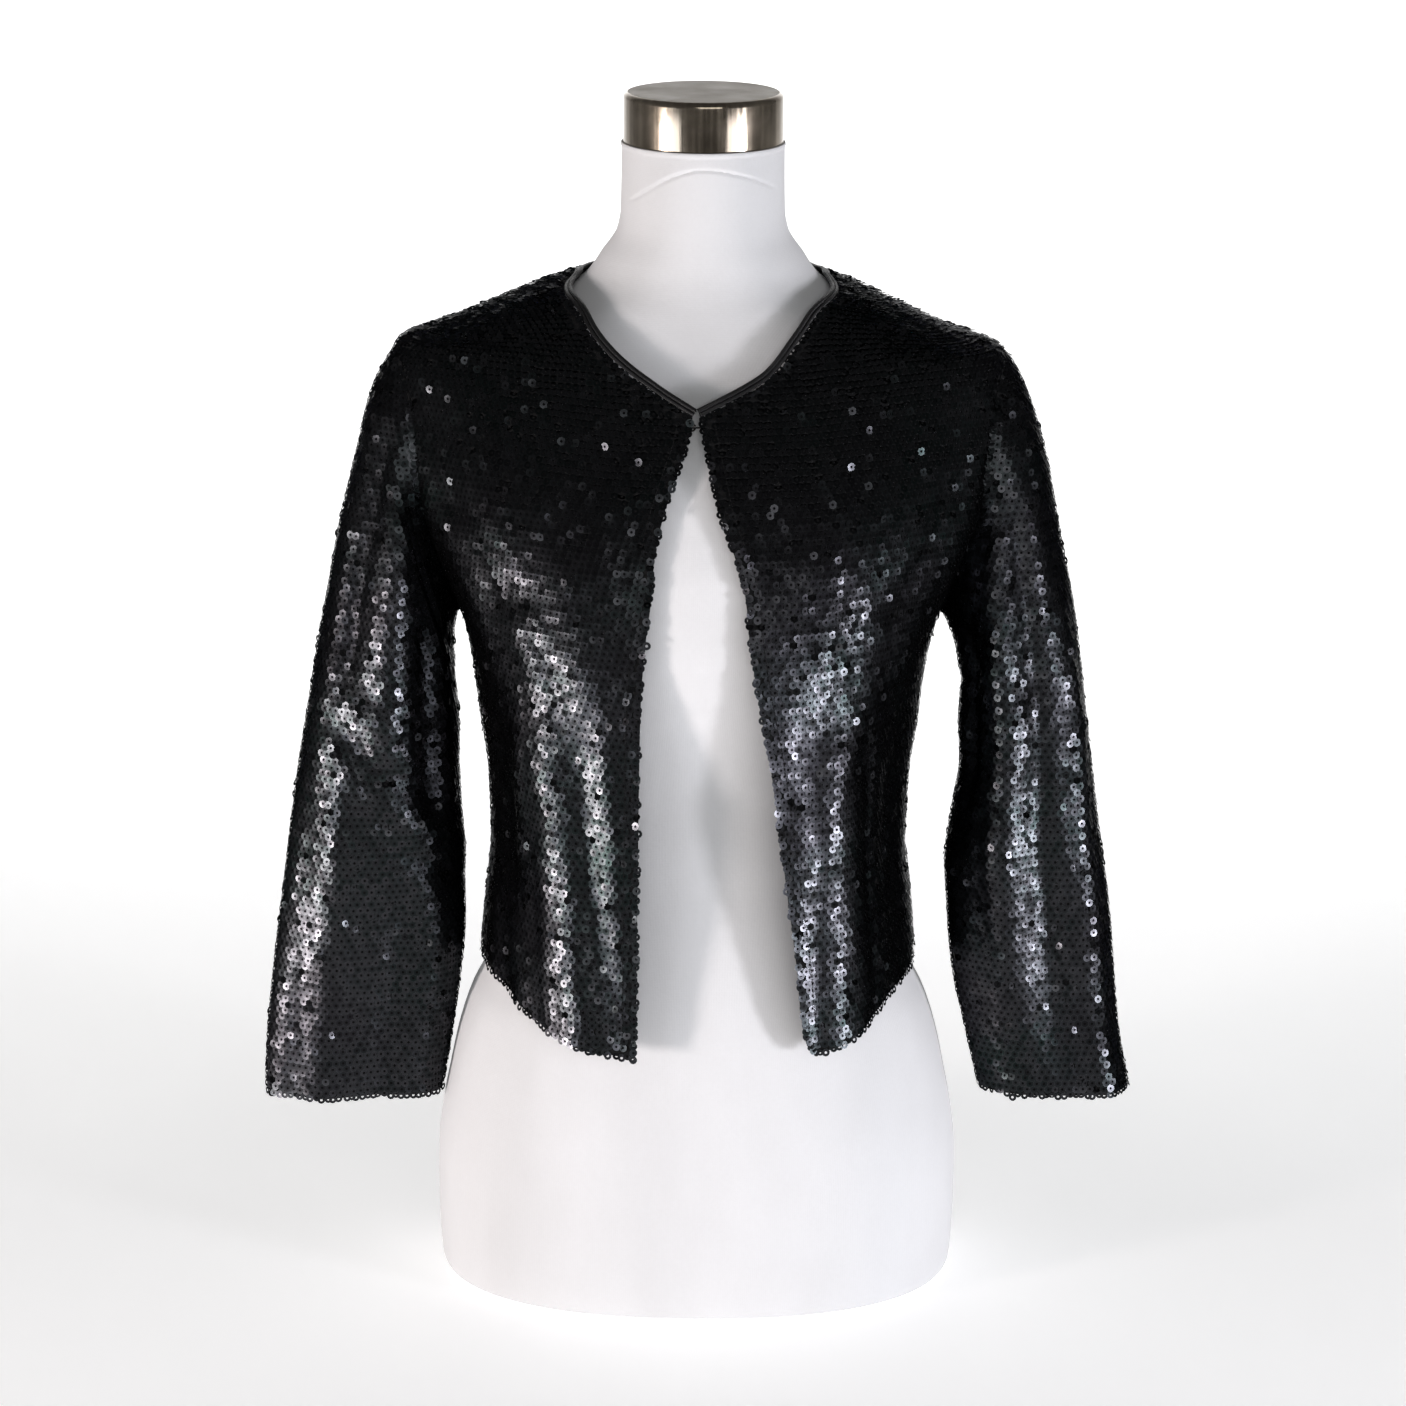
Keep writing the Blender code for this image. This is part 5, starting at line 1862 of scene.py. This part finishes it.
@dataclass(frozen=True)
class SetInSleeve:
    """One sleeve, a tube of cloth with its rows of sequins counted from the cuff."""

    cut: Cut
    sequins: Sequins
    thickness: float = 0.0010
    sink: float = 0.0002
    turns: int = 96
    steps: int = 110
    edge_margin: float = 0.0021
    bare_share: float = 0.0032
    seam_margin: float = 0.0010
    leans: tuple[tuple[float, ...], tuple[float, ...]] = ((0.10, 0.30, 0.60), (7.5, 8.0, 10.0))
    overlap: float = 3.0
    samples: tuple[int, int] = (260, 240)
    seed: int = 31

    def build(self, side: Side, cloth: Material, foil: Material, form: Object) -> None:
        """Build the sleeve's cloth and sequins and put them in place of its solid.

        Args:
            side: Which sleeve it is.
            cloth: The backing's material.
            foil: The sequins' material.
            form: What the sleeve hangs on.
        """
        sleeve = SleeveSurface(side.value)
        name = f"{side.column}_sleeve"
        around = np.linspace(0.0, 360.0, self.turns + 1)[:, None] + np.zeros((1, self.steps))
        shares = np.linspace(1.0 - self.bare_share, 0.0, self.steps)
        down = shares[None, :] + np.zeros((self.turns + 1, 1))
        outward = sleeve.outward(around, np.clip(down, 0.004, 0.996))
        points = sleeve.point(around, down) - outward * self.sink
        points[-1], outward[-1] = points[0], outward[0]
        mesh = gridded(points, measured(points))
        walled(mesh, in_grid_order(outward), self.thickness, joined=True)
        shell = placed(f"{name}_cloth", mesh, cloth)

        def upwards(angle: Array, up: Array) -> Array:
            """Find the point at each angle and share of the way up from the cuff."""
            return sleeve.point(angle, 1.0 - up)

        angles = np.linspace(-self.overlap, 360.0 + self.overlap, self.samples[0])
        patch = Patch.of(upwards, angles, np.linspace(0.0, 1.0, self.samples[1]), -side.value)
        runs = []
        rows = patch.rows(self.sequins.pitch, self.edge_margin, self.seam_margin, 0.0)
        for number, (first, second) in enumerate(rows):
            once = (first > -1.0) & (first < 359.0)
            start = 0.5 * (number % 2)
            apart = self.sequins.spacing if number else self.sequins.edge_spacing
            runs.append(self.sequins.along(patch, first[once], second[once], start, apart))
        places = np.concatenate(runs)
        sewn = (patch, places, len(runs[0]), self.leans)
        sequins = self.sequins.sew(f"{name}_sequins", *sewn, foil, self.seed + side.value)
        self.cut.hang(name, shell, sequins, form)


@dataclass(frozen=True)
class NeckTrim:
    """The folded satin binding round the neck, and the satin facing inside the back neck."""

    width: float = BINDING_WIDTH
    proud: float = BINDING_PROUD
    facing_columns: int = 73
    facing_rows: int = 9
    facing_depth: float = 0.0183
    facing_cloth: float = 0.0010

    def seam(self) -> tuple[Array, Array]:
        """Follow the neck seam from the -X front edge round the back to the +X one.

        Returns:
            Its points and the outward directions there.
        """
        right_turn, right_z = neck_seam_turns(Side.RIGHT, 60)
        left_turn, left_z = neck_seam_turns(Side.LEFT, 60)
        back_turn, back_z = back_neck_line(91)
        back_turn = signed(back_turn[1:-1][::-1])
        turn = np.concatenate([right_turn, back_turn, left_turn[::-1]])
        z = np.concatenate([right_z, back_z[1:-1][::-1], left_z[::-1]])
        return JACKET_SURFACE.point(turn, z), JACKET_SURFACE.outward(turn, z)

    def build(self, satin: Material) -> None:
        """Build both and put them in place of their solids.

        Args:
            satin: Their material.
        """
        points, outward = self.seam()
        along = unit(np.gradient(points, axis=0))
        inwards = unit(np.cross(outward, along))
        inwards *= np.sign(inwards[:, 2].sum())
        profile = (
            (0.0002, -0.0018),
            (0.0001, 0.0002),
            (0.0006, self.proud),
            (0.0016, self.proud + 0.0002),
            (0.0023, self.proud),
            (0.0026, self.proud - 0.0004),
            (0.0030, self.proud),
            (0.0038, self.proud + 0.0003),
            (0.0047, self.proud),
            (self.width, -0.0003),
            (self.width - 0.0001, -0.0012),
            (self.width - 0.0010, -0.0019),
        )
        rings = np.stack([points + inwards * a + outward * b for a, b in profile + profile[:1]])
        mesh = gridded(rings, measured(rings))
        capped(mesh)
        binding = placed("neck_binding_satin", mesh, satin)
        fitted(binding, "neck_binding")
        self.facing(satin)

    def facing(self, satin: Material) -> None:
        """Build the strip inside the back neck.

        Args:
            satin: Its material.
        """
        turn, top = back_neck_line(self.facing_columns)
        turn = signed(turn)
        turn[0], turn[-1] = 90.0, -90.0
        shares = np.linspace(0.0, 1.0, self.facing_rows)[None, :]
        z = top[:, None] - self.facing_depth * (1 - shares)
        turns = turn[:, None] + np.zeros_like(z)
        outward = JACKET_SURFACE.outward(turns, z)
        points = JACKET_SURFACE.point(turns, z) - outward * (CLOTH + SEAM_GAP)
        mesh = gridded(points, measured(points))
        walled(mesh, in_grid_order(outward), self.facing_cloth, joined=False)
        strip = placed("back_neck_facing_satin", mesh, satin)
        fitted(strip, "back_neck_facing")


@dataclass(frozen=True)
class DressForm:
    """The limbless torso: foam in a white jersey cover, flat below and at the neck's top."""

    turns: int = 150
    tuck_depth: float = 0.0010
    tuck_width: float = 0.0010
    overlap: float = 0.0007
    overlap_reach: float = 14.0
    tuck_turn: float = 68.0
    tuck_fade: float = 20.0
    lip: float = 0.0007
    lip_width: float = 0.0012
    jersey_per_degree: float = 0.0021

    def tuck_line(self, turn: Array) -> Array:
        """Find the height of the cover's tuck across the front of the neck."""
        return eased([-75.0, -60.0, 0.0, 62.0, 75.0], [0.705, 0.710, 0.732, 0.7175, 0.711], turn)

    def build(self, jersey: Material) -> Object:
        """Build the form and put it in place of its solid.

        Args:
            jersey: Its material.

        Returns:
            The form.
        """
        base = np.array([0.0, 0.0012, 0.0025, 0.0050, 0.0080])
        torso, neck = np.linspace(0.0120, 0.6950, 172), np.linspace(0.6975, NECK_TOP_Z, 62)
        heights = np.concatenate([base, torso, neck])
        turn = np.linspace(-180.0, 180.0, self.turns + 1)[:, None] + np.zeros((1, len(heights)))
        z = heights[None, :] + np.zeros_like(turn)
        outward = normals_of(FORM_SURFACE.plain, turn, z, FORM_STEPS)
        away = (z - self.tuck_line(turn)) / self.tuck_width
        tuck = np.exp(-(away**2)) * self.tuck_depth
        fading = (self.overlap_reach - away) / self.overlap_reach
        tuck -= self.overlap * smooth_step(away) * smooth_step(fading)
        tuck *= smooth_step((self.tuck_turn - np.abs(turn)) / self.tuck_fade)
        below_top = (z - NECK_TOP_Z + self.lip_width) / self.lip_width
        lip = self.lip * np.exp(-(below_top**2))
        points = FORM_SURFACE.plain(turn, z) + outward * (lip - tuck)[..., None]
        points[-1] = points[0]
        mesh = gridded(points, np.stack([turn * self.jersey_per_degree, z], axis=-1))
        capped(mesh)
        form = placed("form_jersey", mesh, jersey)
        fitted(form, "dress_form")
        return form


@dataclass(frozen=True)
class NeckCap:
    """The turned metal cap: a streaked band, a rounded rim and a matt top."""

    radius: float = CAP_RADIUS
    height: float = CAP_HEIGHT
    rounding: float = 0.0035
    foot: float = 0.0006
    flat: float = 0.0012
    steps: int = 128

    def build(self, band: Material, top: Material) -> None:
        """Turn the cap's profile round its axis and put it in place of its solid.

        Args:
            band: The material of its side.
            top: The material of its top.
        """
        low = NECK_TOP_Z + SEAM_GAP
        high, rim = low + self.height, self.radius - self.rounding
        bend = np.radians(np.linspace(0.0, 90.0, 9))
        corner = [
            (rim + self.rounding * math.cos(a), high - self.rounding * (1 - math.sin(a)))
            for a in bend
        ]
        profile = [
            (0.0, low),
            (self.radius - self.foot, low),
            (self.radius, low + self.foot),
            (self.radius, low + 0.4 * self.height),
            *corner,
            (rim - self.flat, high),
            (0.0, high),
        ]
        mesh = bmesh.new()
        line = [mesh.verts.new((x, BODY_AXIS_Y, z)) for x, z in profile]
        edges = [mesh.edges.new(pair) for pair in zip(line, line[1:])]
        bmesh.ops.spin(
            mesh,
            geom=line + edges,
            cent=(0.0, BODY_AXIS_Y, 0.0),
            axis=(0.0, 0.0, 1.0),
            angle=math.tau,
            steps=self.steps,
            use_merge=True,
        )
        bmesh.ops.remove_doubles(mesh, verts=mesh.verts, dist=MERGE)
        bmesh.ops.recalc_face_normals(mesh, faces=mesh.faces)
        for face in mesh.faces:
            centre = face.calc_center_median()
            face.material_index = int(centre.z > high - 0.0001)
        cap = placed("neck_cap_metal", mesh, band, top)
        fitted(cap, "neck_cap")


@dataclass(frozen=True)
class FrontStitching:
    """The row of stitches that holds each front's turned edge."""

    from_edge: float = 0.0090
    pitch: float = 0.0034
    length: float = 0.0024
    radius: float = 0.00022
    stand: float = 0.0010
    bulge: float = 1.12
    low_z: float = 0.1900
    below_throat: float = 0.003
    samples: int = 900

    def stamp(self) -> Mesh:
        """Model one stitch along Y, rounded at its ends.

        Returns:
            Its mesh.
        """
        mesh = bmesh.new()
        bmesh.ops.create_cone(
            mesh,
            cap_ends=True,
            segments=6,
            radius1=self.radius,
            radius2=self.radius,
            depth=self.length,
        )
        ends = [face for face in mesh.faces if len(face.verts) == 6]
        bmesh.ops.inset_individual(mesh, faces=ends, thickness=self.radius * 0.5)
        for face in ends:
            for vert in face.verts:
                vert.co.z *= self.bulge
        turn = Matrix.Rotation(math.radians(90), 3, "X")
        bmesh.ops.rotate(mesh, verts=mesh.verts, cent=(0.0, 0.0, 0.0), matrix=turn)
        return kept_mesh("one_stitch", mesh)

    def build(self, side: Side, thread: Material) -> None:
        """Sew the stitches down one front.

        Args:
            side: Which front it is.
            thread: The stitches' material.
        """
        z = np.linspace(self.low_z, THROAT_Z - self.below_throat, self.samples)
        x = read(FRONT_EDGES, side.column, "z", z) + side.value * self.from_edge
        turn = JACKET_SURFACE.turn_at(x, z)
        length = length_along(JACKET_SURFACE.point(turn, z))
        at = np.arange(self.pitch, length[-1], self.pitch)
        turn, z = np.interp(at, length, turn), np.interp(at, length, z)
        outward = JACKET_SURFACE.outward(turn, z)
        places = JACKET_SURFACE.point(turn, z)
        along = unit(np.gradient(places, axis=0))
        over = unit(np.cross(along, outward))
        axes = np.stack([over, along, np.cross(over, along)], axis=1)
        spots = places + outward * self.stand
        name = f"{side.column}_front_stitches"
        stitches = stamped(name, self.stamp(), spots, axes, np.zeros(len(places)), thread)
        log.info("%s: %d stitches", name, len(places))


@dataclass(frozen=True)
class Closure:
    """The wire hook and eye, which keep the shapes of their solids."""

    def build(self, lacquer: Material) -> None:
        """Give both their finish.

        Args:
            lacquer: Their material.
        """
        for name in ("hook", "eye"):
            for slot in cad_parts[name].material_slots:
                slot.material = lacquer
        log.info("hook and eye: finished")


@dataclass(frozen=True)
class Lamp:
    """A soft box light, aimed at a point of the object."""

    name: str
    place: tuple[float, float, float]
    aim: tuple[float, float, float]
    width: float
    height: float
    power: float
    colour: tuple[float, float, float] = (1.0, 1.0, 1.0)

    def build(self) -> None:
        """Put the light in place."""
        data = bpy.data.lights.new(self.name, "AREA")
        data.color = self.colour
        data.shape = "RECTANGLE"
        data.size, data.size_y, data.energy = self.width, self.height, self.power
        lamp = bpy.data.objects.new(self.name, data)
        way = Vector(self.aim) - Vector(self.place)
        turned = way.to_track_quat("-Z", "Y").to_matrix().to_4x4()
        lamp.matrix_world = Matrix.Translation(self.place) @ turned
        bpy.context.scene.collection.objects.link(lamp)


@dataclass(frozen=True)
class Studio:
    """The pale floor, the soft lights and the camera at the photograph's angle."""

    lamps: tuple[Lamp, ...] = (
        Lamp(
            "left_box", (-1.95, -1.25, 0.21), (0.0, 0.0, 0.33), 0.26, 0.42, 40.0, (1.0, 0.90, 0.87)
        ),
        Lamp(
            "right_box", (1.95, -1.25, 0.21), (0.0, 0.0, 0.33), 0.26, 0.42, 35.5, (0.95, 0.94, 1.0)
        ),
        Lamp(
            "left_glow", (-1.85, -1.70, 0.26), (0.0, 0.0, 0.30), 1.20, 0.50, 10.5, (0.88, 0.92, 1.0)
        ),
        Lamp(
            "right_glow", (1.85, -1.70, 0.26), (0.0, 0.0, 0.30), 1.20, 0.50, 10.5, (0.90, 0.91, 1.0)
        ),
        Lamp("front_fill", (0.50, -3.0, 1.50), (0.0, 0.0, 0.35), 1.90, 1.40, 22.0),
        Lamp("backdrop_wash", (0.0, 1.6, 2.6), (0.0, 5.0, 0.6), 2.40, 1.00, 150.0),
    )
    horizon: float = 0.20
    ceiling: float = 0.12
    dim_from: float = 0.6
    # Painted light on the floor: it glows fully out to the first distance from the origin, fading
    # to none at the second, with this strength.
    painted_light_reach: tuple[float, float] = (0.5, 2.4)
    painted_light_strength: float = 0.42
    floor_half: float = 6.0
    floor_rows: int = 60
    sweep_from: float = 2.5
    sweep: float = 0.55
    floor_drop: float = 0.0002
    sensor: float = 36.0
    frame_pixels: float = 1406.0
    pitch: float = 17.15
    roll: float = 0.4
    place: tuple[float, float, float] = (0.0022, -2.4 + BODY_AXIS_Y, 1.124)
    focal_pixels: float = 3945.0

    def floor(self) -> None:
        """Lay the floor, which curves up far behind the object. Light is painted on it: it glows
        near the object and fades to none further off.
        """
        mesh = bmesh.new()
        bmesh.ops.create_grid(mesh, x_segments=2, y_segments=self.floor_rows, size=self.floor_half)
        for vert in mesh.verts:
            behind = max(0.0, vert.co.y - self.sweep_from)
            vert.co.z = self.sweep * behind**2 - self.floor_drop
        data = kept_mesh("floor", mesh)
        data.shade_smooth()
        graph = NodeGraph("pale_floor_painted_light")
        grain = graph.noise(30.0, 3.0)
        shade = graph.mixed(grain, (0.90, 0.90, 0.90), (0.94, 0.94, 0.94))
        # Painted light: the floor glows by its distance from the origin, brightest near the object.
        painted_light_share = graph.spread(graph.distance(), *self.painted_light_reach, 1.0, 0.0)
        glow = graph.mixed(painted_light_share, (0.0, 0.0, 0.0), (1.0, 1.0, 1.0))
        data.materials.append(
            graph.finish(
                Base_Color=shade,
                Roughness=0.9,
                Emission_Color=glow,
                Emission_Strength=self.painted_light_strength,
            )
        )
        floor = bpy.data.objects.new("floor", data)
        bpy.context.scene.collection.objects.link(floor)

    def room(self) -> World:
        """Surround the object with a plain room, pale at eye level and dim overhead.

        Returns:
            The room's world.
        """
        world = bpy.data.worlds.new("studio")
        world.use_nodes = True
        graph = NodeTree(world.node_tree)
        way = graph.node("ShaderNodeTexCoord", {}, {}).outputs["Generated"]
        height = graph.node("ShaderNodeSeparateXYZ", {}, {0: way}).outputs["Z"]
        ends = {0: height, 1: 0.0, 2: self.dim_from, 3: self.horizon, 4: self.ceiling}
        dimming = graph.node("ShaderNodeMapRange", {}, ends).outputs[0]
        background = graph.tree.nodes["Background"]
        graph.put(background.inputs["Strength"], dimming)
        graph.put(background.inputs["Color"], (1.0, 1.0, 1.0, 1.0))
        return world

    def build(self) -> None:
        """Set up the floor, the lights, the surroundings and the camera."""
        self.floor()
        for lamp in self.lamps:
            lamp.build()
        scene = bpy.context.scene
        scene.world = self.room()
        scene.view_settings.view_transform = "Standard"
        data = bpy.data.cameras.new("photograph")
        data.sensor_width = self.sensor
        data.lens = self.sensor * self.focal_pixels / self.frame_pixels
        camera = bpy.data.objects.new("photograph", data)
        tilt = Matrix.Rotation(math.radians(90.0 - self.pitch), 4, "X")
        level = Matrix.Rotation(math.radians(self.roll), 4, "Z")
        camera.matrix_world = Matrix.Translation(self.place) @ tilt @ level
        scene.collection.objects.link(camera)
        scene.camera = camera


def main() -> None:
    """Build every piece in order."""
    logging.basicConfig(level=logging.INFO, format="%(name)s: %(message)s")
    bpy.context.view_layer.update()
    cloth, foil = BackingCloth().material(), SequinFoil().material()
    satin, thread = Satin().material(), SewingThread().material()
    band = BrushedMetal(
        name="cap_band",
        dark=(0.09, 0.072, 0.055),
        light=(0.50, 0.43, 0.34),
        roughness=(0.10, 0.24),
        streak=(5.0, 5.0, 0.15),
        streak_depth=0.00010,
    )
    top = BrushedMetal(
        name="cap_top",
        dark=(0.125, 0.106, 0.080),
        light=(0.195, 0.168, 0.130),
        roughness=(0.42, 0.55),
        streak=(2.0, 2.0, 2.0),
        streak_depth=0.00004,
    )
    form = DressForm().build(Jersey().material())
    NeckCap().build(band.material(), top.material())
    sequins = Sequins()
    front = FrontPanel(Cut(0.217, 0.583, 0.0790), sequins)
    for side in Side:
        front.build(side, cloth, foil, form)
        FrontStitching().build(side, thread)
    BackPanel(Cut(0.457, 0.534, 0.1800), sequins).build(cloth, foil, form)
    for side in Side:
        SetInSleeve(Cut(0.420, 0.509, 0.1140), sequins).build(side, cloth, foil, form)
    NeckTrim().build(satin)
    Closure().build(LacqueredWire().material())
    Studio().build()


if __name__ == "__main__":
    main()
